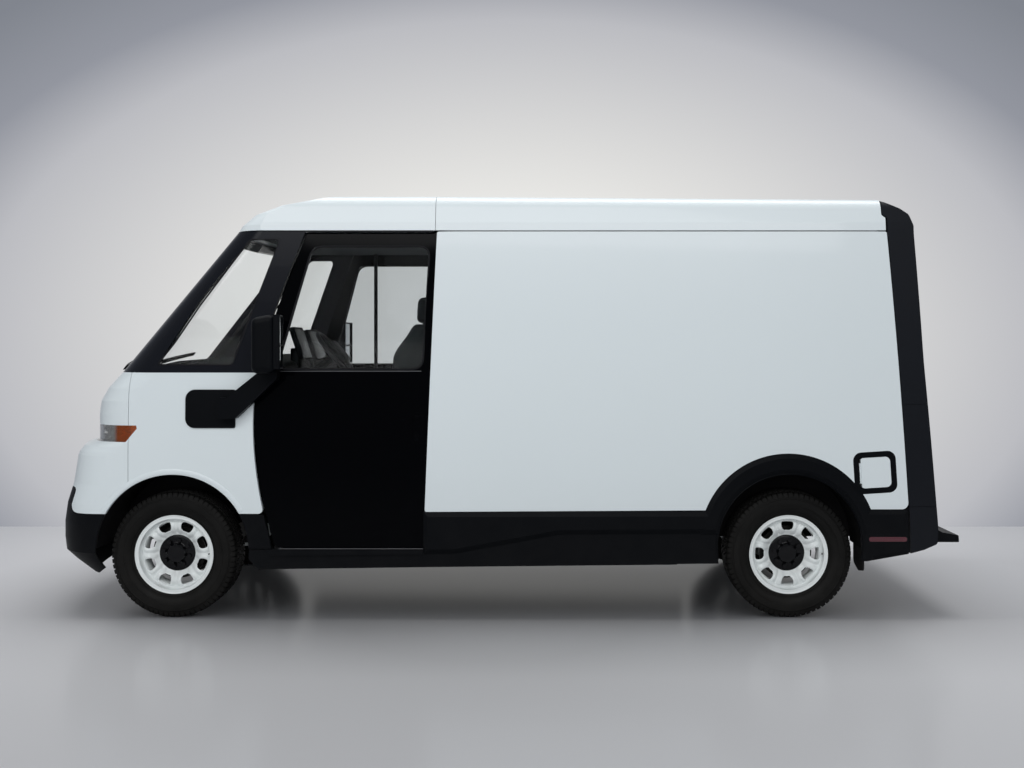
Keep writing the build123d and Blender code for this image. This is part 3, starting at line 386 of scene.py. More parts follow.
def slab(bm, low, high, edge=0.003, turn=None):
    """Moulded block between two corners with rounded edges; turn is a matrix about its middle."""
    low, high = Vector(low), Vector(high)
    made = bmesh.ops.create_cube(bm, size=1)["verts"]
    middle = (low + high) / 2
    size = [max(abs(c), 1e-4) for c in (high - low)]
    bmesh.ops.scale(bm, vec=size, verts=made)
    edges = list(dict.fromkeys(e for v in made for e in v.link_edges))
    edge = min(edge, min(size) * 0.45)
    result = bmesh.ops.bevel(bm, geom=edges, offset=edge, segments=2, profile=0.6, affect="EDGES")
    made = list(dict.fromkeys([v for f in result["faces"] for v in f.verts] + [v for v in made if v.is_valid]))
    if turn:
        bmesh.ops.transform(bm, matrix=turn, verts=made)
    bmesh.ops.translate(bm, vec=middle, verts=made)
    return made


def both_sides(bm):
    """Add the right-hand twin of everything on the left."""
    twin = bmesh.ops.duplicate(bm, geom=bm.verts[:] + bm.edges[:] + bm.faces[:])["geom"]
    verts = [g for g in twin if isinstance(g, bmesh.types.BMVert)]
    for v in verts:
        v.co.y = -v.co.y
    bmesh.ops.reverse_faces(bm, faces=[g for g in twin if isinstance(g, bmesh.types.BMFace)])


def prism(bm, near, far):
    """Closed block between two like outlines of points."""
    near, far = [[bm.verts.new(p) for p in ring] for ring in (near, far)]
    count = len(near)
    for k in range(count):
        bm.faces.new((near[k], near[(k + 1) % count], far[(k + 1) % count], far[k]))
    bm.faces.new(near)
    bm.faces.new(far)
    bmesh.ops.recalc_face_normals(bm, faces=bm.faces)


def axle_station(axle):
    """Millimetres behind the datum of an axle's middle."""
    low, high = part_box(f"tyre_{axle}_left")
    return station_of((low.x + high.x) / 2)


body_half = 1040
rear_mid = axle_station("rear")
arch_height = 447
arch_r = 453
rocker_end = bmesh.new()
opening = [(rear_mid - math.sqrt(arch_r ** 2 - (z - arch_height) ** 2), z) for z in (342, 380, 415, 450, 485, 520, 540)]
closing = [(3158, 340)] + opening + [(3158, 540)]
prism(rocker_end, *[[station(x, y, z) for x, z in closing] for y in (-1034.5, -1016)])
both_sides(rocker_end)
piece("rocker_ends", rocker_end, cladding_plastic, "van_body", "dark_cladding")

# ---------------------------------------------------------------- step treads, sensors and plate
# Rubber treads are let into the top of the rear step, and four round parking sensors into its rear edge.
# A blank plate with a pressed rim hangs on two screws in front.
def repeat_tree():
    """Geometry Nodes: one piece repeated in even steps along a line or round an axis."""
    tree = bpy.data.node_groups.new("repeat_piece", "GeometryNodeTree")
    socket = tree.interface.new_socket
    ids = {label: socket(label, in_out="INPUT", socket_type=kind).identifier for label, kind in (
        ("Piece", "NodeSocketObject"), ("Count", "NodeSocketInt"), ("Start", "NodeSocketVector"),
        ("Step", "NodeSocketVector"), ("Phase", "NodeSocketVector"), ("Turn", "NodeSocketVector"),
        ("Finish", "NodeSocketMaterial"))}
    socket("Geometry", in_out="OUTPUT", socket_type="NodeSocketGeometry")
    node, link = tree.nodes.new, tree.links.new
    enter, leave = node("NodeGroupInput"), node("NodeGroupOutput")
    index = node("GeometryNodeInputIndex")

    def stepped(first, step):
        times = node("ShaderNodeVectorMath")
        times.operation = "SCALE"
        link(enter.outputs[step], times.inputs[0])
        link(index.outputs[0], times.inputs["Scale"])
        total = node("ShaderNodeVectorMath")
        link(times.outputs[0], total.inputs[0])
        link(enter.outputs[first], total.inputs[1])
        return total.outputs[0]

    points = node("GeometryNodePoints")
    link(enter.outputs["Count"], points.inputs["Count"])
    link(stepped("Start", "Step"), points.inputs["Position"])
    source = node("GeometryNodeObjectInfo")
    link(enter.outputs["Piece"], source.inputs["Object"])
    turn = node("FunctionNodeEulerToRotation")
    link(stepped("Phase", "Turn"), turn.inputs[0])
    place = node("GeometryNodeInstanceOnPoints")
    link(points.outputs[0], place.inputs["Points"])
    link(source.outputs["Geometry"], place.inputs["Instance"])
    link(turn.outputs[0], place.inputs["Rotation"])
    real = node("GeometryNodeRealizeInstances")
    link(place.outputs[0], real.inputs[0])
    coat = node("GeometryNodeSetMaterial")
    link(real.outputs[0], coat.inputs["Geometry"])
    link(enter.outputs["Finish"], coat.inputs["Material"])
    link(coat.outputs[0], leave.inputs[0])
    return tree, ids


repeat_piece, repeat_ids = repeat_tree()


def run(count, start=(0, 0, 0), step=(0, 0, 0), phase=(0, 0, 0), turn=(0, 0, 0)):
    """One run of repeats: how many, where the first stands and is turned, and how each next one moves and turns."""
    return count, start, step, phase, turn


def repeated(bm_one, material, runs):
    """Repeat a small mesh along some runs; gives the joined result as a bmesh."""
    one = bpy.data.meshes.new("one")
    bm_one.to_mesh(one)
    bm_one.free()
    source = bpy.data.objects.new("one", one)
    shown.link(source)
    joined = bmesh.new()
    for count, start, step, phase, turn in runs:
        holder = bpy.data.objects.new("run", bpy.data.meshes.new("run"))
        shown.link(holder)
        modifier = holder.modifiers.new("repeat", "NODES")
        modifier.node_group = repeat_piece
        for label, value in (("Piece", source), ("Count", count), ("Start", start), ("Step", step),
                             ("Phase", phase), ("Turn", turn), ("Finish", material)):
            modifier[repeat_ids[label]] = value
        graph = bpy.context.evaluated_depsgraph_get()
        result = bpy.data.meshes.new_from_object(holder.evaluated_get(graph))
        joined.from_mesh(result)
        bpy.data.meshes.remove(result)
        bpy.data.objects.remove(holder)
    bpy.data.objects.remove(source)
    return joined


def pour(source, target):
    """Move all of one bmesh into another."""
    mesh = bpy.data.meshes.new("part")
    source.to_mesh(mesh)
    source.free()
    target.from_mesh(mesh)
    bpy.data.meshes.remove(mesh)


step_low, step_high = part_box("step_bumper")
step_rubber = finish("step_rubber", (0.008, 0.008, 0.009), 0.7, drift=0.2, grain=0.4, grain_size=0.0012, film=0.12,
                     Specular_IOR_Level=0.2)
bar = bmesh.new()
slab(bar, (-0.004, -0.055, -0.002), (0.004, 0.055, 0.004), 0.0015)
tread_fall = 0.20
treads = repeated(bar, step_rubber, [
    run(6, (step_high.x - 0.125, -0.84 + 0.14 * k, step_low.z + 0.0545), (0.018, 0, -0.0035), (0, tread_fall, 0))
    for k in range(13)])
piece("step_treads", treads, step_rubber, "van_body", "dark_cladding")

sensor = bmesh.new()
bmesh.ops.create_cone(sensor, cap_ends=True, segments=24, radius1=0.013, radius2=0.012, depth=0.004)
bmesh.ops.bevel(sensor, geom=[e for e in sensor.edges if len(e.link_faces) == 2 and e.calc_face_angle() > 1],
                offset=0.0008, segments=2, affect="EDGES")
bmesh.ops.rotate(sensor, matrix=Matrix.Rotation(math.radians(90), 3, "Y"), verts=sensor.verts)
sensors = repeated(sensor, step_rubber, [run(4, (step_high.x + 0.001, -0.72, step_low.z + 0.024), (0, 0.48, 0))])
piece("parking_sensors", sensors, step_rubber, "van_body", "dark_cladding")

plate_paint = finish("plate_paint", (0.74, 0.75, 0.75), 0.35, drift=0.03, grain=0.02, Coat_Weight=0.3)
nose_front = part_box("front_bumper")[0].x
plates = bmesh.new()
slab(plates, (nose_front - 0.006, -0.1525, 0.474), (nose_front - 0.0035, 0.1525, 0.626), 0.0012)
for y0, y1, z0, z1 in ((-0.1500, 0.1500, 0.6205, 0.6235), (-0.1500, 0.1500, 0.4765, 0.4795),
                       (-0.1500, -0.1470, 0.4765, 0.6235), (0.1470, 0.1500, 0.4765, 0.6235)):
    slab(plates, (nose_front - 0.0072, y0, z0), (nose_front - 0.0055, y1, z1), 0.0008)
piece("front_plate", plates, plate_paint, "van_body", "white_paint")
zinc = finish("zinc_plate", (0.42, 0.42, 0.41), 0.35, drift=0.2, drift_size=0.02, grain=0.1, Metallic=1.0)
screw = bmesh.new()
bmesh.ops.create_uvsphere(screw, u_segments=16, v_segments=8, radius=0.0075)
bmesh.ops.scale(screw, vec=(0.35, 1, 1), verts=screw.verts)
screws = repeated(screw, zinc, [run(2, (nose_front - 0.0065, -0.0889, 0.540), (0, 0.1778, 0))])
piece("plate_screws", screws, zinc, "van_body", "chassis_steel")

# ---------------------------------------------------------------- arch edges
# The rear flare's plastic edge turns in round the wheel, and the front fender ends in a rolled white lip.
def arch_point(middle, height, radius, degrees, y):
    """Point round a wheel opening, with the angle from straight behind the wheel."""
    a = math.radians(degrees)
    return station(middle + radius * math.cos(a), y, height + radius * math.sin(a))


finders = {}


def surface(name):
    """Search tree over a CAD node's surface, built once."""
    if name not in finders:
        mesh = nodes[name].data
        finders[name] = BVHTree.FromPolygons([v.co for v in mesh.vertices], [p.vertices[:] for p in mesh.polygons])
    return finders[name]


def outer_y(names, x, z):
    """Where a left-hand outer face of some CAD nodes lies, in metres, at a station and height."""
    hits = [surface(name).ray_cast(station(x, -3000, z), Vector((0, 1, 0)))[0] for name in names]
    return min((hit.y for hit in hits if hit), default=None)


def sweep(bm, path, section, closed=True, out=Vector((0, -1, 0))):
    """Run a cross-section of (across, outwards) offsets along a path."""
    rings = []
    count = len(path)
    for i, point in enumerate(path):
        ahead = path[(i + 1) % count] if closed or i + 1 < count else point
        behind = path[i - 1] if closed or i else point
        tangent = (ahead - behind).normalized()
        side = tangent.cross(out).normalized()
        lift = side.cross(tangent).normalized()
        rings.append([bm.verts.new(point + side * a + lift * b) for a, b in section])
    runs = count if closed else count - 1
    size = len(section)
    for i in range(runs):
        one, two = rings[i], rings[(i + 1) % count]
        for k in range(size):
            bm.faces.new((one[k], two[k], two[(k + 1) % size], one[(k + 1) % size]))
    if not closed:
        bm.faces.new(rings[0])
        bm.faces.new(list(reversed(rings[-1])))
    bmesh.ops.recalc_face_normals(bm, faces=bm.faces)


flare_edge = bmesh.new()
sweep(flare_edge, [arch_point(rear_mid, arch_height, 450.5, a, -body_half) for a in range(-11, 192, 3)],
      [(-0.0035, -0.028), (0.0045, -0.028), (0.0045, 0.002), (0.0, 0.005), (-0.0035, 0.002)], closed=False)
both_sides(flare_edge)
piece("flare_edges", flare_edge, cladding_plastic, "van_body", "dark_cladding")

arch_lip = bmesh.new()
lip_path = [arch_point(axle_station("front"), 419, 494, a, 0) for a in range(30, 151, 3)]
for p in lip_path:
    p.y = outer_y(["fenders"], station_of(p.x), p.z * 1000) or -body_half / 1000
sweep(arch_lip, lip_path, [(-0.017, -0.004), (0.017, -0.004), (0.017, 0.001), (0.010, 0.0042), (0.0, 0.0055),
                           (-0.010, 0.0042), (-0.017, 0.001)], closed=False)
both_sides(arch_lip)
piece("fender_lips", arch_lip, white_paint, "van_body", "white_paint", sharp=60)

# ---------------------------------------------------------------- cab frame and side doors
# The cab's posts and the two sliding doors are black, and so glossy that they mirror the room.
# Each door has a recessed pull, a rubber seal round its pane, a satin strip under it, and a lining of three
# pads with a grab rim inside, thin enough to pass between the walls. Brushed strips lie on the sill.
frame_gloss = finish("frame_gloss", (0.0070, 0.0082, 0.0120), 0.24, drift=0.2, drift_size=0.8, film=0.02, spread=0.05,
                     Specular_IOR_Level=0.12)
dress(frame_gloss, "cab_frame")
door_gloss = finish("door_gloss", (0.0006, 0.0008, 0.0014), 0.08, drift=0.2, drift_size=0.6, film=0.004, spread=0.04,
                    Specular_IOR_Level=0.05)
dress(door_gloss, "door_left", "door_right")

seal_rubber = finish("seal_rubber", (0.006, 0.006, 0.008), 0.62, drift=0.2, grain=0.2, grain_size=0.001,
                     Specular_IOR_Level=0.2)
def rounded(points, radius, steps=6):
    """Closed outline with rounded corners, as a list of points."""
    result = []
    for i, corner in enumerate(points):
        corner = Vector(corner)
        before = (Vector(points[i - 1]) - corner)
        after = (Vector(points[(i + 1) % len(points)]) - corner)
        reach = min(radius, before.length * 0.45, after.length * 0.45)
        a, b = corner + before.normalized() * reach, corner + after.normalized() * reach
        for k in range(steps + 1):
            t = k / steps
            result.append(a * (1 - t) ** 2 + corner * 2 * t * (1 - t) + b * t ** 2)
    return result


door_pane_line = rounded([(881, 2321), (747, 1835), (666, 1549), (1580, 1549), (1620, 2321)], 70)


def seal_along(bm, line, names, width, depth):
    """Rubber strip along a side-view outline, lying on the CAD surface 12 mm outside it."""
    middle = sum(line, Vector((0, 0))) / len(line)
    path = []
    for p in line:
        beside = p + (p - middle).normalized() * 12
        path.append(station(p.x, outer_y(names, *beside) * 1000, p.y))
    half = width / 2
    sweep(bm, path, [(-half, -depth), (half, -depth), (half, depth * 0.4), (half * 0.4, depth), (-half * 0.4, depth),
                     (-half, depth * 0.4)])


def door_face(x, z):
    """Where the left door's outer face lies, in millimetres."""
    return outer_y(["door_left"], x, z) * 1000


def framed(x0, z0, x1, z1, radius):
    """Side-view rectangle with rounded corners."""
    return rounded([(x0, z0), (x1, z0), (x1, z1), (x0, z1)], radius, 8)


left_seal = bmesh.new()
seal_along(left_seal, door_pane_line, ["door_left"], 0.012, 0.003)
pull = bmesh.new()
pull_x, pull_z = 1556, 1180
pull_y = door_face(pull_x, pull_z)
sweep(pull, [station(p.x, pull_y, p.y) for p in framed(pull_x - 42, pull_z - 95, pull_x + 42, pull_z + 95, 34)],
      [(-0.006, -0.004), (0.006, -0.004), (0.005, 0.0018), (0.0, 0.0026), (-0.005, 0.0018)])
for x0, x1, proud, edge in ((-26, 4, 2.4, 0.005), (12, 32, 1, 0.004)):
    slab(pull, station(pull_x + x0, pull_y - proud, pull_z - 78), station(pull_x + x1, pull_y + 6, pull_z + 78), edge)
lining = bmesh.new()
door_thick = 45
inner_y = door_face(1100, 900) + door_thick
for z0, z1 in ((520, 700), (708, 1130), (1140, 1440)):
    slab(lining, station(720, inner_y - 4, z0), station(1570, inner_y + 2, z1), 0.0025)
sweep(lining, [station(p.x, inner_y + 2, p.y) for p in framed(1440, 1180, 1510, 1400, 30)],
      [(-0.008, 0.002), (0.008, 0.002), (0.006, -0.0012), (0.0, -0.0022), (-0.006, -0.0012)])
satin = finish("satin_strip", (0.10, 0.105, 0.11), 0.4, drift=0.2, drift_size=0.1, grain=0.1, Metallic=0.8)
trim_plastic = finish("trim_plastic", (0.004, 0.0065, 0.007), 0.6, drift=0.15, grain=0.35, grain_size=0.0018,
                      Specular_IOR_Level=0.1)
strip = bmesh.new()
strip_z = 1536
sweep(strip, [station(x, door_face(x, strip_z), strip_z) for x in range(672, 1610, 60)],
      [(-0.0025, -0.002), (0.0025, -0.002), (0.0025, 0.001), (0.0, 0.002), (-0.0025, 0.001)], closed=False)
for hand in ("left", "right"):
    for name, source, material, slot in (("door_seal", left_seal, seal_rubber, "black_gloss"),
                                         ("door_strip", strip, satin, "black_gloss"),
                                         ("door_pull", pull, door_gloss, "black_gloss"),
                                         ("door_lining", lining, trim_plastic, "interior_plastic")):
        copy = source.copy()
        if hand == "right":
            for v in copy.verts:
                v.co.y = -v.co.y
            bmesh.ops.reverse_faces(copy, faces=copy.faces)
        piece(f"{name}_{hand}", copy, material, f"side_door_{hand}", slot)

sill = bmesh.new()
sill_z = 432.4
for y0, y1 in ((-1002, -990), (-1042, -1030)):
    slab(sill, station(690, y0, sill_z), station(1588, y1, sill_z + 4), 0.0012)
both_sides(sill)
brushed = finish("brushed_strip", (0.30, 0.30, 0.31), 0.38, drift=0.25, drift_size=0.05, grain=0.15, Metallic=1.0)
piece("sill_strips", sill, brushed, "van_body", "floor_sheet")

pane_beads = bmesh.new()
quarter_line = rounded([(-68, 1577), (40, 1720), (190, 1952), (493, 2364), (684, 2364), (477, 1797), (398, 1577)],
                       26, 5)
seal_along(pane_beads, quarter_line, ["cab_frame", "cab_glass"], 0.010, 0.0022)
both_sides(pane_beads)
piece("pane_beads", pane_beads, seal_rubber, "van_body", "black_gloss")

# ---------------------------------------------------------------- glass
# Windshield, quarter panes and door panes are green-grey tinted laminated glass, 6 mm thick, the doors' the
# darker. The wipers parked on the windshield have black steel arms and rubber blades.
def tinted(name, colour):
    """Laminated pane with an even tint."""
    glass, tree, shader = principled(name, Transmission_Weight=1.0, IOR=1.03, Coat_Weight=0.2)
    tone = place_group(tree, tone_drift, Colour=colour, Size=0.5, Amount=0.06)
    tree.links.new(tone.outputs["Colour"], shader.inputs["Base Color"])
    tree.links.new(math_node(tree, "MULTIPLY", tone.outputs["Mask"], 0.01), shader.inputs["Roughness"])
    return glass


dress(tinted("cab_pane_glass", (0.965, 0.98, 0.985)), "cab_glass")
dress(tinted("door_pane_glass", (0.725, 0.748, 0.757)), "door_glass_left", "door_glass_right")
wiper_black = finish("wiper_black", (0.006, 0.006, 0.007), 0.45, drift=0.2, grain=0.2, grain_size=0.001,
                     Specular_IOR_Level=0.2)
dress(wiper_black, "wipers")

# ---------------------------------------------------------------- mirrors
# Upright truck mirrors on arms from the fenders: flat glass above a small spotter, both turned towards the
# driver in one bezel behind the head.
silver = finish("mirror_silver", (0.42, 0.44, 0.46), 0.02, drift=0.02, spread=0.01, Metallic=1.0)
bezel = bmesh.new()
panes = bmesh.new()
head_x = 731
back_x = head_x - 8
for z0, z1, corners in (
        (1556, 1882, [(back_x, -1319), (head_x + 24, -1317), (head_x + 30, -1310), (head_x + 26, -1304),
                      (back_x, -1304)]),
        (1556, 1882, [(back_x, -1128), (head_x + 6, -1128), (head_x + 6, -1118), (back_x, -1118)]),
        *[(z, z + 9, [(back_x, -1306), (head_x + 27, -1306), (head_x + 6, -1124), (back_x, -1124)])
          for z in (1556, 1693, 1873)]):
    prism(bezel, *[[station(x, y, z) for x, y in corners] for z in (z0, z1)])
turned = Matrix.Rotation(math.radians(6), 4, "Z")
for z0, z1 in ((1566, 1692), (1703, 1872)):
    slab(panes, station(head_x + 7, -1303, z0), station(head_x + 12, -1129, z1), 0.002, turned)
both_sides(bezel)
both_sides(panes)
piece("mirror_bezels", bezel, cladding_plastic, "van_body", "dark_cladding")
piece("mirror_glasses", panes, silver, "van_body", "chassis_steel")

# ---------------------------------------------------------------- headlamps
# Clear polycarbonate covers over a dark housing with four projector modules a side and a light bar above
# them. The cover turns amber where it wraps round to the fender.
cover, tree, shader = principled("lamp_cover", Transmission_Weight=0.85, IOR=1.35, Coat_Weight=0.6)
amber_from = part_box("headlamps")[1].x - 0.152
place = tree.nodes.new("ShaderNodeTexCoord")
split = tree.nodes.new("ShaderNodeSeparateXYZ")
tree.links.new(place.outputs["Object"], split.inputs[0])
amber = math_node(tree, "MULTIPLY", math_node(tree, "SUBTRACT", split.outputs[0], amber_from), 40, True)
tone = place_group(tree, tone_drift, Colour=(0.74, 0.75, 0.74), Size=0.1, Amount=0.1)
tree.links.new(mix_node(tree, amber, tone.outputs["Colour"], (0.84, 0.17, 0.004)), shader.inputs["Base Color"])
tree.links.new(math_node(tree, "ADD", 0.03, math_node(tree, "MULTIPLY", amber, 0.12)), shader.inputs["Roughness"])
dress(cover, "headlamps")


def nose_x(y, z):
    """Where the lamp covers' front face lies, in metres, at a distance from the middle and a height in mm."""
    hit = surface("headlamps").ray_cast(Vector((-4, y / 1000, z / 1000)), Vector((1, 0, 0)))[0]
    return hit.x if hit else None


chrome = finish("lamp_reflector", (0.62, 0.63, 0.64), 0.12, drift=0.1, drift_size=0.05, Metallic=1.0)
housing_black = finish("lamp_housing", (0.03, 0.03, 0.032), 0.4, drift=0.2, grain=0.2)
bowls = bmesh.new()
bars = bmesh.new()
backs = bmesh.new()
bowl_z = 1140
for y in (-500, -600, -700, -800):
    x = nose_x(y, bowl_z)
    rings = []
    for radius, depth in ((0.036, 0.036), (0.034, 0.042), (0.026, 0.060), (0.016, 0.066), (0.012, 0.050), (0.0, 0.046)):
        rings.append([bowls.verts.new((x + depth, y / 1000 + radius * math.cos(a * math.pi / 12),
                                       bowl_z / 1000 + radius * math.sin(a * math.pi / 12))) for a in range(24)])
    for one, two in zip(rings, rings[1:]):
        for a in range(24):
            bowls.faces.new((one[a], one[(a + 1) % 24], two[(a + 1) % 24], two[a]))
bmesh.ops.remove_doubles(bowls, verts=bowls.verts, dist=1e-5)
bmesh.ops.recalc_face_normals(bowls, faces=bowls.faces)
line = [(y, nose_x(y, 1180)) for y in range(-860, -430, 20)]
line = [(y, x) for y, x in line if x is not None]  # the cover ends before the row does
sweep(bars, [Vector((x + 0.036, y / 1000, 1.178)) for y, x in line],
      [(-0.006, -0.004), (0.006, -0.004), (0.006, 0.004), (-0.006, 0.004)], closed=False, out=Vector((-1, 0, 0)))
behind_foot, behind_top = 1.100, 1.197
for (ya, xa), (yb, xb) in zip(line, line[1:]):
    backs.faces.new([backs.verts.new((x + 0.075, y / 1000, z)) for y, x, z in
                     ((ya, xa, behind_foot), (yb, xb, behind_foot), (yb, xb, behind_top), (ya, xa, behind_top))])
bmesh.ops.remove_doubles(backs, verts=backs.verts, dist=1e-5)
bmesh.ops.solidify(backs, geom=backs.faces[:], thickness=0.003)
for bm in (bowls, bars, backs):
    both_sides(bm)
piece("lamp_bowls", bowls, chrome, "van_body", "lamp_lens")
light_bar = finish("light_bar", (0.80, 0.81, 0.80), 0.3, drift=0.05)
piece("light_bars", bars, light_bar, "van_body", "lamp_lens")
piece("lamp_backs", backs, housing_black, "van_body", "lamp_lens")

# ---------------------------------------------------------------- tail lamps and markers
# Red acrylic lenses in the posts of the rear portal, over fine upright flutes, with a high stop lamp and
# a slim marker low in each rear corner.
red_lens, tree, shader = principled("red_lens", Roughness=0.16, Coat_Weight=0.8)
flutes = tree.nodes.new("ShaderNodeTexWave")
flutes.wave_type = "BANDS"
flutes.bands_direction = "Z"
flutes.inputs["Scale"].default_value = 55
where = tree.nodes.new("ShaderNodeTexCoord")
tree.links.new(where.outputs["Object"], flutes.inputs["Vector"])
tone = place_group(tree, tone_drift, Colour=(0.085, 0.008, 0.018), Size=0.1, Amount=0.2)
tree.links.new(mix_node(tree, math_node(tree, "MULTIPLY", flutes.outputs["Fac"], 0.35), tone.outputs["Colour"],
                        (0.045, 0.003, 0.006)), shader.inputs["Base Color"])
relief(tree, shader, flutes.outputs["Fac"], 0.25)
dress(red_lens, "tail_lamps")

# ---------------------------------------------------------------- tyres
# Steel-belted light-truck tyres: six bands of tread blocks on a tread with deep grooves, shoulder lugs that
# wrap on to the sidewall, a ribbed rim protector, and fine spokes on the sidewall where the name would be.
tyre_rubber = finish("tyre_rubber_black", (0.0036, 0.0036, 0.0034), 0.62, drift=0.35, drift_size=0.10, grain=0.3,
                     grain_size=0.0015, film=0.05, spread=0.16, Specular_IOR_Level=0.16)
tyre_low, tyre_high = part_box("tyre_front_left")
tyre_r = (tyre_high.z - tyre_low.z) / 2
half_w = (tyre_high.y - tyre_low.y) / 2


def lathe(bm, profile, steps, closed=True):
    """Turn a profile of (radius, offset along the axle) about the Y axis."""
    rings = [[bm.verts.new((r * math.cos(2 * math.pi * k / steps), y, r * math.sin(2 * math.pi * k / steps)))
              for k in range(steps)] for r, y in profile]
    pairs = list(zip(rings, rings[1:] + rings[:1])) if closed else list(zip(rings, rings[1:]))
    for one, two in pairs:
        for k in range(steps):
            bm.faces.new((one[k], one[(k + 1) % steps], two[(k + 1) % steps], two[k]))
    bmesh.ops.remove_doubles(bm, verts=bm.verts, dist=1e-6)
    bmesh.ops.dissolve_degenerate(bm, dist=1e-7, edges=bm.edges)
    bmesh.ops.recalc_face_normals(bm, faces=bm.faces)


sidewall = [(0.2290, 0.094), (0.2400, 0.0955), (0.2470, 0.097), (0.2500, 0.101), (0.2560, 0.1035), (0.2600, 0.1075),
            (0.2640, 0.1075), (0.2665, 0.1120), (0.2780, 0.1205), (0.2940, 0.1280), (0.3080, half_w - 0.0018),
            (0.3100, half_w - 0.0004), (0.3120, half_w - 0.0018), (0.3300, 0.1300), (0.3440, 0.1270), (0.3460, 0.1282),
            (0.3480, 0.1262), (0.3600, 0.1205), (0.3700, 0.1140), (0.3790, 0.1060), (0.3830, 0.0960)]
grooves = []
for middle in (0.068, 0.030):
    grooves += [(0.3835, middle + 0.020), (0.3840, middle + 0.005), (0.3825, middle + 0.0045),
                (0.3825, middle - 0.0045), (0.3840, middle - 0.005)]
half_profile = sidewall + grooves
inner_line = [(0.366, 0.088), (0.306, 0.110), (0.2470, 0.076), (0.2290, 0.074)]
profile = ([(r, -y) for r, y in half_profile] + [(r, y) for r, y in reversed(half_profile)]
           + [(r, y) for r, y in reversed(inner_line)] + [(r, -y) for r, y in inner_line])


def tread_block(shape, low, high, skew=0.0):
    """Block with a section of (across, radius) points, running round the tread from low to high; skew slants it."""
    bm = bmesh.new()
    prism(bm, *[[(a + skew * y, y, r) for y, r in shape] for a in (low, high)])
    return bm


def all_round(bm, material, count, first=0.0, turn=None):
    """Ring of a small mesh about the axle, evenly spaced unless the turn is given."""
    return repeated(bm, material, [run(count, phase=(0, first, 0), turn=(0, turn or 2 * math.pi / count, 0))])


pitch_count = 70
crown = tyre_r - 0.0004
shoulder = ([(0.075, 0.380), (0.0765, crown), (0.098, crown - 0.0008), (0.1125, crown - 0.0075), (0.1195, 0.3735),
             (0.1238, 0.3580), (0.1160, 0.3560), (0.102, 0.370)], -0.0135, 0.0125, 0.10)
middle_band = ([(0.0365, 0.381), (0.0385, crown), (0.0605, crown), (0.0625, 0.381)], -0.0145, 0.0125, 0.35)
centre_band = ([(-0.0240, 0.381), (-0.0225, crown), (-0.0035, crown), (-0.0020, 0.381)], -0.0160, 0.0135, 0.25)
# Each band with the side it lies on and the share of a pitch that it is shifted by
bands = [(-1, shoulder, 0.0), (-1, middle_band, 0.35), (1, shoulder, 0.0), (1, middle_band, 0.35),
         (1, centre_band, 0.6), (-1, centre_band, 0.1)]
spoke_count, spoke_turn, spoke_start = 42, math.radians(1.6), 0.35


def build_tyre(name, centre, body):
    """One tyre about its wheel's centre."""
    total = bmesh.new()
    lathe(total, profile, 144)
    for sign, (shape, low, high, skew), phase in bands:
        block = tread_block([(sign * y, r) for y, r in shape], low, high, skew * sign)
        pour(all_round(block, tyre_rubber, pitch_count, phase * 2 * math.pi / pitch_count), total)
    for sign in (-1, 1):
        for start in (spoke_start, spoke_start + math.pi):
            spoke = tread_block([(-sign * y, r) for y, r in (
                (-0.1262, 0.2950), (-0.1325, 0.3020), (-0.1322, 0.3060), (-0.1262, 0.3060))], -0.0006, 0.0006)
            pour(all_round(spoke, tyre_rubber, spoke_count, start, spoke_turn), total)
    bmesh.ops.translate(total, vec=centre, verts=total.verts)
    return piece(name, total, tyre_rubber, body, "tyre_rubber", sharp=28)


hubs = {(axle, hand): sum(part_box(f"tyre_{axle}_{hand}"), Vector()) / 2
        for axle in ("front", "rear") for hand in ("left", "right")}
for (axle, hand), centre in hubs.items():
    tyre = build_tyre(f"tread_tyre_{axle}_{hand}", centre, f"{axle}_wheel_{hand}")
    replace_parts(tyre, f"tyre_{axle}_{hand}")

# ---------------------------------------------------------------- wheels
# Pressed steel wheels painted white, eight windows with rolled edges and a channelled spoke between each
# pair, over an iron brake disc. A black moulded cap with eight nut covers closes the hub.
wheel_paint = finish("wheel_paint", (0.80, 0.845, 0.845), 0.34, drift=0.08, drift_size=0.08, grain=0.08,
                     grain_size=0.004, film=0.12, Coat_Weight=0.4)
cap_plastic = finish("cap_plastic", (0.003, 0.003, 0.004), 0.20, drift=0.3, drift_size=0.03, grain=0.1,
                     Specular_IOR_Level=0.25)
# Painted shade: the brake disc is darker than bare iron, partly its own dark cast iron and partly to stand for the
# shade behind the wheel's windows.
disc_iron_darkened_for_shade = finish("disc_iron_darkened_for_shade", (0.045, 0.043, 0.040), 0.42, drift=0.35, drift_size=0.05, grain=0.2, Metallic=1.0)
disc_line = [(0.1125, -0.0325), (0.1190, -0.0330), (0.1270, -0.0385), (0.1360, -0.0460), (0.1450, -0.0535),
             (0.1530, -0.0590), (0.1570, -0.0612), (0.1650, -0.0648), (0.1740, -0.0662), (0.1840, -0.0650),
             (0.1930, -0.0625), (0.2000, -0.0600), (0.2060, -0.0575), (0.2125, -0.0560)]
spoke_line = [(0, -0.0048), (3, -0.0030), (5, 0.0035), (8, 0.0062), (11, 0.0045), (13.6, 0.0), (17, 0.0), (22.5, 0.0)]


def between(table, value):
    """Value read from a short table of pairs, smoothed between them."""
    if value <= table[0][0]:
        return table[0][1]
    for (a, fa), (b, fb) in zip(table, table[1:]):
        if value <= b:
            t = (value - a) / (b - a)
            return fa + (fb - fa) * t * t * (3 - 2 * t)
    return table[-1][1]


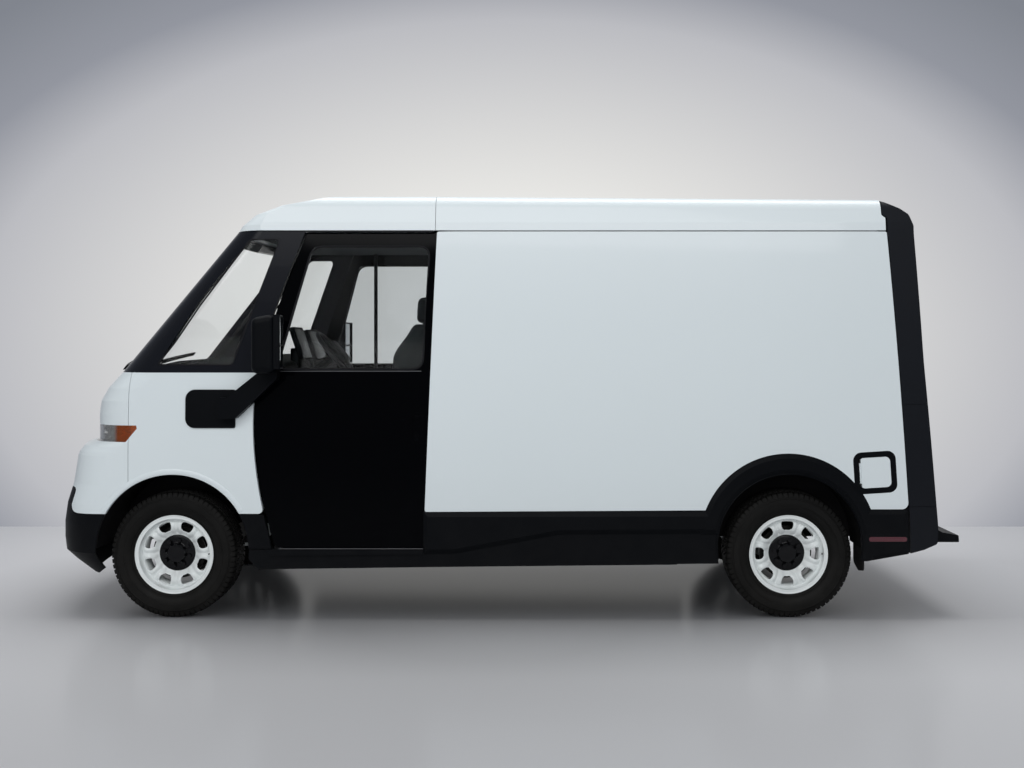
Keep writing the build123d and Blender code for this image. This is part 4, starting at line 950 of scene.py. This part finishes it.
# One eighth of the wheel in degrees from a spoke's middle. The sheet's lines are bent so that the window's side
# at 13.1 degrees moves out to where the window is wide, as given in degrees each side of its middle by radius
eighth, window_side, window_half = 45, 13.1, 9.4
spoke_steps = [0, 2, 4, 6, 8, 10, 11.5, window_side, 15, 17.5, 20, eighth / 2]
spoke_steps += [eighth - a for a in reversed(spoke_steps[1:-1])]
window_low, window_high = 0.145, 0.2035
stops = [0.1125, 0.118, 0.124, 0.131, 0.137, 0.142, window_low, 0.153, 0.163, 0.174, 0.185, 0.195, 0.2005, window_high,
         0.2075, 0.2125]
window_shape = [(0.143, 9.0), (0.170, 12.2), (0.188, 12.0), (0.206, 9.4)]
spoke_reach = [(0.120, 0), (0.134, 1), (0.196, 1), (0.209, 0)]
rim_line = [
    (0.2455, -0.1080), (0.2462, -0.1055), (0.2455, -0.1010), (0.2425, -0.0985), (0.2385, -0.0968), (0.2320, -0.0955),
    (0.2286, -0.0930), (0.2286, -0.0700), (0.2200, -0.0600), (0.2075, -0.0520), (0.2065, -0.0480), (0.2065, 0.0400),
    (0.2075, 0.0440), (0.2286, 0.0640), (0.2286, 0.0950), (0.2455, 0.0970), (0.2455, 0.1080), (0.2206, 0.1060),
    (0.2206, 0.0600), (0.1990, 0.0380), (0.1985, -0.0480), (0.2020, -0.0540), (0.2110, -0.0600), (0.2180, -0.0680),
    (0.2206, -0.0740), (0.2206, -0.0985), (0.2225, -0.1035), (0.2270, -0.1050), (0.2330, -0.1040), (0.2380, -0.1050),
    (0.2420, -0.1076)]
cap_line = [
    (0.1125, -0.0340), (0.1128, -0.0375), (0.1110, -0.0420), (0.1060, -0.0450), (0.0700, -0.0462), (0.0640, -0.0480),
    (0.0600, -0.0540), (0.0570, -0.0660), (0.0530, -0.0712), (0.0420, -0.0725), (0.0300, -0.0716), (0.0001, -0.0712),
    (0.0001, -0.0310), (0.1100, -0.0310)]
brake_line = [(0.075, -0.0195), (0.080, -0.0020), (0.163, -0.0020), (0.165, 0.0000), (0.165, 0.0200), (0.163, 0.0220),
              (0.0352, 0.0220), (0.0352, -0.0195)]
valve_stem = [Vector((0.218, -0.060, 0)), Vector((0.216, -0.078, 0)), Vector((0.211, -0.094, 0))]


def round_section(radius, sides=8):
    """Cross-section of a round bar for a sweep."""
    turns = [2 * math.pi * k / sides for k in range(sides)]
    return [(radius * math.cos(a), radius * math.sin(a)) for a in turns]


def build_wheel(name, centre, hand, first_window, body, node):
    """Painted wheel, its cap and its brake disc, outboard face to the side given by hand."""
    face = bmesh.new()
    grid = {}
    for i, r in enumerate(stops):
        half_window = between(window_shape, r)
        for s in range(8):
            for j, a in enumerate(spoke_steps):
                spoke = min(a, eighth - a)
                rise = between(spoke_line, spoke) * between(spoke_reach, r)
                if spoke <= window_side:
                    bent = spoke * (eighth / 2 - half_window) / window_side
                else:
                    bent = eighth / 2 - (eighth / 2 - spoke) * half_window / window_half
                within = bent if a <= eighth / 2 else eighth - bent
                turn = math.radians(eighth * s + within + first_window + eighth / 2)
                grid[i, s * len(spoke_steps) + j] = face.verts.new(
                    (r * math.cos(turn), between(disc_line, r) - rise, r * math.sin(turn)))
    around = 8 * len(spoke_steps)
    for i, (low, high) in enumerate(zip(stops, stops[1:])):
        for j in range(around):
            a = spoke_steps[j % len(spoke_steps)]
            b = spoke_steps[(j + 1) % len(spoke_steps)] or eighth
            open_here = window_low <= low and high <= window_high and window_side <= a and b <= eighth - window_side
            at_corner = (window_side == a or b == eighth - window_side) and (window_low == low or high == window_high)
            if not open_here or at_corner:
                face.faces.new((grid[i, j], grid[i, (j + 1) % around], grid[i + 1, (j + 1) % around], grid[i + 1, j]))
    bmesh.ops.recalc_face_normals(face, faces=face.faces)
    sheet = bpy.data.meshes.new("sheet")
    face.to_mesh(sheet)
    face.free()
    holder = bpy.data.objects.new("sheet", sheet)
    shown.link(holder)
    metal = holder.modifiers.new("metal", "SOLIDIFY")
    metal.thickness = 0.006
    metal.offset = 0
    smooth = holder.modifiers.new("smooth", "SUBSURF")
    smooth.levels = smooth.render_levels = 1
    pressed = bpy.data.meshes.new_from_object(holder.evaluated_get(bpy.context.evaluated_depsgraph_get()))
    bpy.data.objects.remove(holder)
    wheel = bmesh.new()
    lathe(wheel, rim_line, 96)
    wheel.from_mesh(pressed)
    bpy.data.meshes.remove(pressed)
    hub = bmesh.new()
    lathe(hub, cap_line, 64)
    nut = bmesh.new()
    bmesh.ops.create_cone(nut, cap_ends=True, segments=6, radius1=0.0155, radius2=0.0140, depth=0.022)
    bmesh.ops.bevel(nut, geom=nut.edges[:], offset=0.0018, segments=2, affect="EDGES")
    bmesh.ops.rotate(nut, matrix=Matrix.Rotation(math.radians(90), 3, "X"), verts=nut.verts)
    bmesh.ops.translate(nut, vec=(0.0825, -0.055, 0), verts=nut.verts)
    pour(all_round(nut, cap_plastic, 8, 0.2), hub)
    sweep(hub, valve_stem, round_section(0.004), closed=False, out=Vector((0, 0, 1)))
    brake = bmesh.new()
    lathe(brake, brake_line, 64)
    for label, bm, material in (("wheel", wheel, wheel_paint), ("hub_cap", hub, cap_plastic),
                                ("brake_disc", brake, disc_iron_darkened_for_shade)):
        if hand == "right":
            bmesh.ops.rotate(bm, matrix=Matrix.Rotation(math.pi, 3, "Z"), verts=bm.verts)
        bmesh.ops.translate(bm, vec=centre, verts=bm.verts)
        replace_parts(piece(f"{label}_{name}", bm, material, body, "white_wheel_steel", sharp=40), node)


for (axle, hand), centre in hubs.items():
    build_wheel(f"{axle}_{hand}", centre, hand, 22.5 if axle == "front" else 0.0, f"{axle}_wheel_{hand}",
                f"wheel_{axle}_{hand}")

# ---------------------------------------------------------------- seats
# Two high-back seats in dark woven cloth over moulded foam: side bolsters, sewn channels across the middle,
# a loose headrest on two steel posts, and a steel pedestal on the floor.
seat_cloth, tree, shader = principled("seat_cloth_weave", Sheen_Weight=0.08)
where = tree.nodes.new("ShaderNodeTexCoord")
threads = []
for direction in ("Y", "Z"):
    wave = tree.nodes.new("ShaderNodeTexWave")
    wave.bands_direction = direction
    wave.inputs["Scale"].default_value = 160
    wave.inputs["Distortion"].default_value = 0.6
    tree.links.new(where.outputs["Object"], wave.inputs["Vector"])
    threads.append(wave.outputs["Fac"])
weave = math_node(tree, "MULTIPLY", *threads)
tone = place_group(tree, tone_drift, Colour=(0.012, 0.018, 0.019), Size=0.12, Amount=0.3)
tree.links.new(mix_node(tree, math_node(tree, "MULTIPLY", weave, 0.5), tone.outputs["Colour"], (0.028, 0.036, 0.038)),
               shader.inputs["Base Color"])
tree.links.new(math_node(tree, "ADD", 0.80, math_node(tree, "MULTIPLY", tone.outputs["Mask"], 0.12)),
               shader.inputs["Roughness"])
relief(tree, shader, weave, 0.5)


def cushion(name, half, radius, crown, bolster, channels, place, cuts=(30, 26, 8)):
    """Crowned pad: u along it, v across it, w through it (+1 the face sat on); place maps mm to the van."""
    bm = bmesh.new()
    made = {}

    def corner(*ijk):
        if ijk not in made:
            made[ijk] = bm.verts.new([2 * c / n - 1 for c, n in zip(ijk, cuts)])
        return made[ijk]

    for axis in range(3):
        a, b = [k for k in range(3) if k != axis]
        for end in (0, cuts[axis]):
            for i in range(cuts[a]):
                for j in range(cuts[b]):
                    loop = []
                    for di, dj in ((0, 0), (1, 0), (1, 1), (0, 1)):
                        ijk = [0, 0, 0]
                        ijk[axis], ijk[a], ijk[b] = end, i + di, j + dj
                        loop.append(corner(*ijk))
                    bm.faces.new(loop)
    bmesh.ops.recalc_face_normals(bm, faces=bm.faces)
    for v in bm.verts:
        u, s, w = v.co
        p = Vector((u * half[0], s * half[1], w * half[2]))
        core = Vector([max(-(h - radius), min(h - radius, c)) for c, h in zip(p, half)])
        away = p - core
        p = core + away.normalized() * min(radius, away.length) if away.length > 1e-9 else p
        rim = (1 - u * u) * (1 - s * s)
        if w > 0:
            p.z += w * (crown * rim + bolster * math.exp(-((abs(s) - 0.80) / 0.13) ** 2) * (1 - u ** 4))
            p.z -= w * 7 * math.exp(-((abs(s) - 0.60) / 0.022) ** 2) * (1 - u ** 6)
            if abs(s) < 0.60:
                for c in channels:
                    p.z -= w * 6 * math.exp(-((u - c) / 0.022) ** 2)
        p.x *= 1 - 0.018 * (1 - s * s) * (1 - w * w)
        p.y *= 1 - 0.02 * (1 - u * u) * (1 - w * w)
        v.co = place(p)
    bmesh.ops.recalc_face_normals(bm, faces=bm.faces)
    pad = piece(name, bm, seat_cloth, "van_body", "seat_cloth", sharp=80)
    soften = pad.modifiers.new("soften", "SUBSURF")
    soften.levels = soften.render_levels = 1
    return pad


steel_black = finish("seat_frame_steel", (0.02, 0.02, 0.021), 0.45, drift=0.2, grain=0.1, Metallic=0.6)
seat_mid = 450
back_foot_z, back_half = 1182, 329


def on_back(centre_y):
    """Map for a pad that stands in the back's leaning space."""
    def place(p):
        z = back_foot_z + (p.x + back_half) / (2 * back_half) * 656
        front_x = between([(back_foot_z, 1310), (1600, 1368), (1838, 1476)], z)
        rear_x = 1478 + (z - back_foot_z) * 0.1655
        mid, depth = (front_x + rear_x) / 2, (rear_x - front_x) / 2
        return station(mid - p.z / 85 * depth, centre_y + p.y, z)
    return place


for hand, centre_y in (("left", -seat_mid), ("right", seat_mid)):
    pads = [
        cushion(f"seat_cushion_{hand}", (262, 248, 58), 42, 10, 14, (-0.45, -0.1, 0.25, 0.6),
                lambda p, c=centre_y: station(1222 - p.x, c + p.y, 1120 + p.z)),
        cushion(f"seat_back_{hand}", (back_half, 238, 85), 46, 10, 16, (-0.6, -0.25, 0.1, 0.45), on_back(centre_y),
                (34, 26, 8)),
        cushion(f"seat_headrest_{hand}", (86, 128, 44), 36, 6, 0, (), lambda p, c=centre_y: station(
            1544 + p.x * 0.06 - p.z, c + p.y, 1930 + p.x), (16, 20, 10))]
    stand = bmesh.new()
    for y in (-60, 60):
        sweep(stand, [station(x, centre_y + y, z) for x, z in ((1528, 1800), (1540, 1870), (1545, 1930))],
              round_section(0.006), closed=False)
    slab(stand, station(1000, centre_y - 195, 1030), station(1400, centre_y + 180, 1062), 0.008)
    slab(stand, station(1030, centre_y - 170, 760), station(1370, centre_y + 160, 1032), 0.02)
    for y in (-190, 160):
        slab(stand, station(1000, centre_y + y, 701), station(1380, centre_y + y + 30, 726), 0.004)
        slab(stand, station(1060, centre_y + y + 4, 720), station(1330, centre_y + y + 26, 770), 0.004)
    base = piece(f"seat_stand_{hand}", stand, steel_black, "van_body", "seat_cloth")
    for pad in pads:
        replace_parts(pad, "seats")
    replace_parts(base, "seats")
belts = bmesh.new()
for y in (-700, 700):
    sweep(belts, [station(1640, y * 1.11, 2100), station(1606, y * 1.02, 1700), station(1600, y, 1200),
                  station(1590, y, 900)],
          [(-0.023, -0.0007), (0.023, -0.0007), (0.023, 0.0007), (-0.023, 0.0007)], closed=False,
          out=Vector((0, -1 if y < 0 else 1, 0)))
webbing = finish("belt_webbing", (0.022, 0.022, 0.023), 0.75, drift=0.2, drift_size=0.05, grain=0.4, grain_size=0.0015)
piece("belt_straps", belts, webbing, "van_body", "seat_cloth")

# ---------------------------------------------------------------- dash, wheel and cab trim
# Grained dash with a driver's display and a wide middle screen on stands, louvred vents, a leather-rimmed
# steering wheel with an airbag pad and stalks, dark head lining and visors, a grab pole, ribbed mat and pedals.
dress(trim_plastic, "dashboard", "steering_wheel")
screens = bmesh.new()
surrounds = bmesh.new()
lean = Matrix.Rotation(math.radians(-18), 4, "Y")
for y0, y1, x, z0, z1 in ((-600, -320, 690, 1612, 1812), (-190, 150, 700, 1600, 1800)):
    slab(surrounds, station(x, y0 - 10, z0 - 10), station(x + 34, y1 + 10, z1 + 10), 0.010, lean)
    slab(screens, station(x + 31, y0, z0), station(x + 37, y1, z1), 0.003, lean)
    slab(surrounds, station(x - 40, (y0 + y1) / 2 - 60, 1540), station(x + 20, (y0 + y1) / 2 + 60, 1680), 0.012)
display_black = finish("display_glass", (0.003, 0.004, 0.005), 0.25, drift=0.1, spread=0.03, Specular_IOR_Level=0.05)
piece("display_frames", surrounds, trim_plastic, "van_body", "interior_plastic")
piece("displays", screens, display_black, "van_body", "interior_plastic")
slat = bmesh.new()
slab(slat, (-0.004, -0.062, -0.0016), (0.010, 0.062, 0.0016), 0.001)
vents = repeated(slat, trim_plastic, [
    run(5, station(702, y, 1440), (0, 0, 0.014), (0, 0.35, 0)) for y in (-780, -240, 240, 780)])
piece("vent_slats", vents, trim_plastic, "van_body", "interior_plastic")
hub_place = Matrix.Translation(station(940, -seat_mid, 1640)) @ Matrix.Rotation(math.radians(50), 4, "Y")
rim_cover = bmesh.new()
rim_r, grip_r, grip_swell = 0.178, 0.0138, 0.0016
grips = (0.9, 2.24, 4.04, 5.38)
rings = []
for k in range(96):
    a = 2 * math.pi * k / 96
    grip = grip_r + grip_swell * math.exp(-(min(abs(a - b) for b in grips) / 0.12) ** 2)
    rings.append([rim_cover.verts.new(hub_place @ Vector((
        (rim_r + grip * math.cos(b)) * math.cos(a), (rim_r + grip * math.cos(b)) * math.sin(a), grip * math.sin(b))))
        for b in [j * math.pi / 6 for j in range(12)]])
for one, two in zip(rings, rings[1:] + rings[:1]):
    for j in range(12):
        rim_cover.faces.new((one[j], one[(j + 1) % 12], two[(j + 1) % 12], two[j]))
bmesh.ops.recalc_face_normals(rim_cover, faces=rim_cover.faces)
leather = finish("rim_leather", (0.014, 0.014, 0.015), 0.45, drift=0.15, drift_size=0.05, grain=0.4, grain_size=0.0025)
piece("steering_rim_cover", rim_cover, leather, "van_body", "interior_plastic")
horn = bmesh.new()
slab(horn, (-0.085, -0.095, 0.000), (0.085, 0.095, 0.050), 0.024)
for y0, y1 in ((-0.225, -0.06), (0.06, 0.225)):
    slab(horn, (-0.012, y0, -0.055), (0.006, y1, -0.040), 0.004)
bmesh.ops.transform(horn, matrix=hub_place, verts=horn.verts)
piece("horn_pad", horn, trim_plastic, "van_body", "interior_plastic")

head_cloth = finish("head_lining", (0.045, 0.055, 0.060), 0.85, drift=0.1, drift_size=0.3, grain=0.4, grain_size=0.003)
ceiling = bmesh.new()
slab(ceiling, station(470, -830, 2398), station(1700, 830, 2410), 0.005)
piece("head_lining", ceiling, head_cloth, "van_body", "lining")
visors = bmesh.new()
for y in (-450, 450):
    slab(visors, station(372, y - 190, 2330), station(392, y + 190, 2392), 0.008,
         Matrix.Rotation(math.radians(35), 4, "Y"))
piece("sun_visors", visors, head_cloth, "van_body", "lining")
fin = bmesh.new()
slab(fin, station(1060, -8, 2672), station(1140, 8, 2712), 0.006)
slab(fin, station(1090, -12.5, 2690), station(1120, 12.5, 2723), 0.006)
piece("roof_aerial", fin, cladding_plastic, "van_body", "black_gloss")
pole = bmesh.new()
sweep(pole, [station(1043, 690, z) for z in (705, 1500, 2396)], round_section(0.014, 12), closed=False)
piece("grab_pole", pole, steel_black, "van_body", "interior_plastic")
mats = bmesh.new()
slab(mats, station(80, -600, 700.5), station(950, 600, 708), 0.003)
rib_bar = bmesh.new()
slab(rib_bar, (-0.003, -0.58, 0), (0.003, 0.58, 0.0025), 0.0008)
pour(repeated(rib_bar, step_rubber, [run(26, station(110, 0, 707.5), (0.032, 0, 0))]), mats)
piece("cab_mat", mats, step_rubber, "van_body", "floor_sheet")
pedals = bmesh.new()
for y, w in ((-520, 30), (-400, 45)):
    slab(pedals, station(330, y - w, 800), station(346, y + w, 880), 0.006,
         Matrix.Rotation(math.radians(-25), 4, "Y"))
    slab(pedals, station(300, y - 8, 870), station(316, y + 8, 1050), 0.004)
piece("pedals", pedals, steel_black, "van_body", "interior_plastic")

# ---------------------------------------------------------------- bulkhead and load space
# Lining boards on the walls and the bulkhead with its sliding walk-through door, two slotted tie-down
# rails a side, pressed ribs along the aluminium floor, and strip lamps on the ceiling.
lining_pale = finish("lining_board", (0.50, 0.51, 0.52), 0.6, drift=0.08, drift_size=0.5, grain=0.15,
                     grain_size=0.003, film=0.1)
dress(lining_pale, "inner_walls")
floor_sheet = finish("floor_sheet_aluminium", (0.33, 0.335, 0.34), 0.42, drift=0.25, drift_size=0.12, grain=0.2,
                     grain_size=0.004, film=0.15, Metallic=0.9)
dress(floor_sheet, "deck")
bar = bmesh.new()
slab(bar, (-1.44, -0.010, 0), (1.44, 0.010, 0.003), 0.0012)
floor_ribs = repeated(bar, floor_sheet, [run(17, station(3205, -640, 700), (0, 0.08, 0))])
piece("floor_ribs", floor_ribs, floor_sheet, "van_body", "floor_sheet")
rails = bmesh.new()
slots = []
for y, z in ((-934, 1250), (-910, 1850)):
    slab(rails, station(1800, y - 3, z - 62), station(4480, y + 5, z + 62), 0.002)
    slots += [run(48, station(1850, y + 6.5, z + rise), (0.0545, 0, 0)) for rise in (20, -20)]
both_sides(rails)
piece("tie_down_rails", rails, zinc, "van_body", "lining")
slot = bmesh.new()
slab(slot, (-0.013, -0.0012, -0.006), (0.013, 0.0012, 0.006), 0.0011)
slotted = repeated(slot, step_rubber, slots)
both_sides(slotted)
piece("rail_slots", slotted, step_rubber, "van_body", "lining")
cabin_door = bmesh.new()
slab(cabin_door, station(1700, -330, 720), station(1718, 330, 2330), 0.004)
slab(cabin_door, station(1694, -270, 1550), station(1702, 270, 2230), 0.002)
slab(cabin_door, station(1686, 250, 1400), station(1702, 290, 1520), 0.008)
for z in (704, 2340):
    slab(cabin_door, station(1690, -760, z), station(1719, 760, z + 18), 0.003)
piece("bulkhead_door", cabin_door, lining_pale, "van_body", "lining")
strips = bmesh.new()
for y in (-450, 450):
    slab(strips, station(1900, y - 22, 2588), station(4300, y + 22, 2596), 0.003)
lamp_cover_white = finish("strip_lamp_cover", (0.80, 0.80, 0.78), 0.4, drift=0.03)
piece("load_lamps", strips, lamp_cover_white, "van_body", "lining")

# ---------------------------------------------------------------- rear doors
# Each white rear door has three black hinge leaves, a rubber bead along the middle and a rubber kick strip.
# The left one carries the latch handle and a blank plate with a small lamp over it.
door_foot_z, door_lean, door_rise = 566, 4788 - 4662, 2404 - 566


def door_x(z, off=0.0):
    """Station of the rear doors' outer face at a height, a given distance outside it."""
    return 4766 - door_lean / door_rise * (z - door_foot_z) + off


tilt = Matrix.Rotation(-math.atan2(door_lean, door_rise), 4, "Y")
for hand, sign in (("left", -1), ("right", 1)):
    trim = bmesh.new()
    handle = bmesh.new()
    slab(trim, station(door_x(790, -1), sign * 100, 722), station(door_x(790, 4), sign * 820, 780), 0.003, tilt)
    slab(trim, station(door_x(1560, -2), sign * 12, 760), station(door_x(1560, 2.2), sign * 26, 2360), 0.002, tilt)
    for z in (900, 1560, 2220):
        slab(handle, station(door_x(z, -1), sign * 786, z - 26), station(door_x(z, 3), sign * 850, z + 26),
             0.0018, tilt)
    piece(f"rear_trim_{hand}", trim, seal_rubber, f"rear_door_{hand}", "dark_cladding")
    if hand == "left":
        slab(handle, station(door_x(1180, -2), -150, 1120), station(door_x(1180, 6), -75, 1240), 0.006, tilt)
        slab(handle, station(door_x(1180, 4), -136, 1132), station(door_x(1180, 22), -90, 1228), 0.006, tilt)
        rear_plate = bmesh.new()
        slab(rear_plate, station(door_x(1090, -1), -600, 1000), station(door_x(1090, 3), -295, 1152), 0.003, tilt)
        piece("rear_plate", rear_plate, plate_paint, "rear_door_left", "white_paint")
        slab(handle, station(door_x(1180, -1), -520, 1168), station(door_x(1180, 12), -375, 1192), 0.005, tilt)
    piece(f"rear_hardware_{hand}", handle, cladding_plastic, f"rear_door_{hand}", "dark_cladding")

# ---------------------------------------------------------------- underbody
# Black rails and axles, a sheet battery tray with pressed ribs bolted to the rails, an alloy drive unit, coil
# springs in front, grained liners in the arches and rubber flaps behind the rear wheels.
rail_black = finish("chassis_paint", (0.012, 0.012, 0.013), 0.55, drift=0.3, drift_size=0.2, grain=0.2,
                    grain_size=0.004, film=0.2, Specular_IOR_Level=0.25)
cast_iron = finish("cast_iron", (0.075, 0.072, 0.068), 0.62, drift=0.35, drift_size=0.06, grain=0.5, grain_size=0.003,
                   film=0.3, Metallic=0.5)
cast_alloy = finish("cast_alloy", (0.26, 0.265, 0.27), 0.5, drift=0.25, drift_size=0.1, grain=0.4, grain_size=0.003,
                    film=0.25, Metallic=0.85)
tray_sheet = finish("tray_sheet", (0.13, 0.132, 0.136), 0.5, drift=0.25, drift_size=0.2, grain=0.15, grain_size=0.003,
                    film=0.3, Metallic=0.8)
liner_plastic = finish("liner_plastic_black", (0.006, 0.006, 0.007), 0.8, drift=0.3, grain=0.5, grain_size=0.004,
                       film=0.08, Specular_IOR_Level=0.1)
flap_rubber = finish("flap_rubber_black", (0.008, 0.008, 0.009), 0.7, drift=0.25, grain=0.3, grain_size=0.002,
                     film=0.15, Specular_IOR_Level=0.2)
dress(rail_black, "frame_rails", "rear_axle", "front_suspension")
dress(cast_iron, "knuckle_left", "knuckle_right")
dress(cast_alloy, "drive_unit")
dress(tray_sheet, "battery_pack")
dress(liner_plastic, "wheelhouses")
dress(flap_rubber, "mud_flaps")
pack_low, pack_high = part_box("battery_pack")
swage = bmesh.new()
slab(swage, (-0.022, pack_low.y + 0.07, -0.004), (0.022, pack_high.y - 0.07, 0.004), 0.003)
tray_long = pack_high.x - pack_low.x
swages = repeated(swage, tray_sheet, [
    run(9, (pack_low.x + 0.22, 0, pack_low.z - 0.001), ((tray_long - 0.44) / 8, 0, 0))])
piece("tray_ribs", swages, tray_sheet, "van_body", "pack_casing")
bolt = bmesh.new()
bmesh.ops.create_cone(bolt, cap_ends=True, segments=6, radius1=0.011, radius2=0.011, depth=0.010)
bmesh.ops.bevel(bolt, geom=bolt.edges[:], offset=0.001, segments=1, affect="EDGES")
bolts = repeated(bolt, zinc, [
    run(18, (pack_low.x + 0.06, y, 0.516), ((tray_long - 0.12) / 17, 0, 0))
    for y in (pack_low.y + 0.010, pack_high.y - 0.010)])
piece("tray_bolts", bolts, zinc, "van_body", "pack_casing")
springs = bmesh.new()
spring_x, coil_r, coil_turns, coil_pitch = axle_station("front") - 60, 44, 5, 3.9
coil = [station(spring_x + coil_r * math.cos(a), -490 + coil_r * math.sin(a), 590 + a * coil_pitch) for a in
        [k * math.pi / 12 for k in range(24 * coil_turns + 1)]]
sweep(springs, coil, round_section(0.006), closed=False, out=Vector((0, 0, 1)))
both_sides(springs)
piece("front_springs", springs, rail_black, "van_body", "chassis_steel")
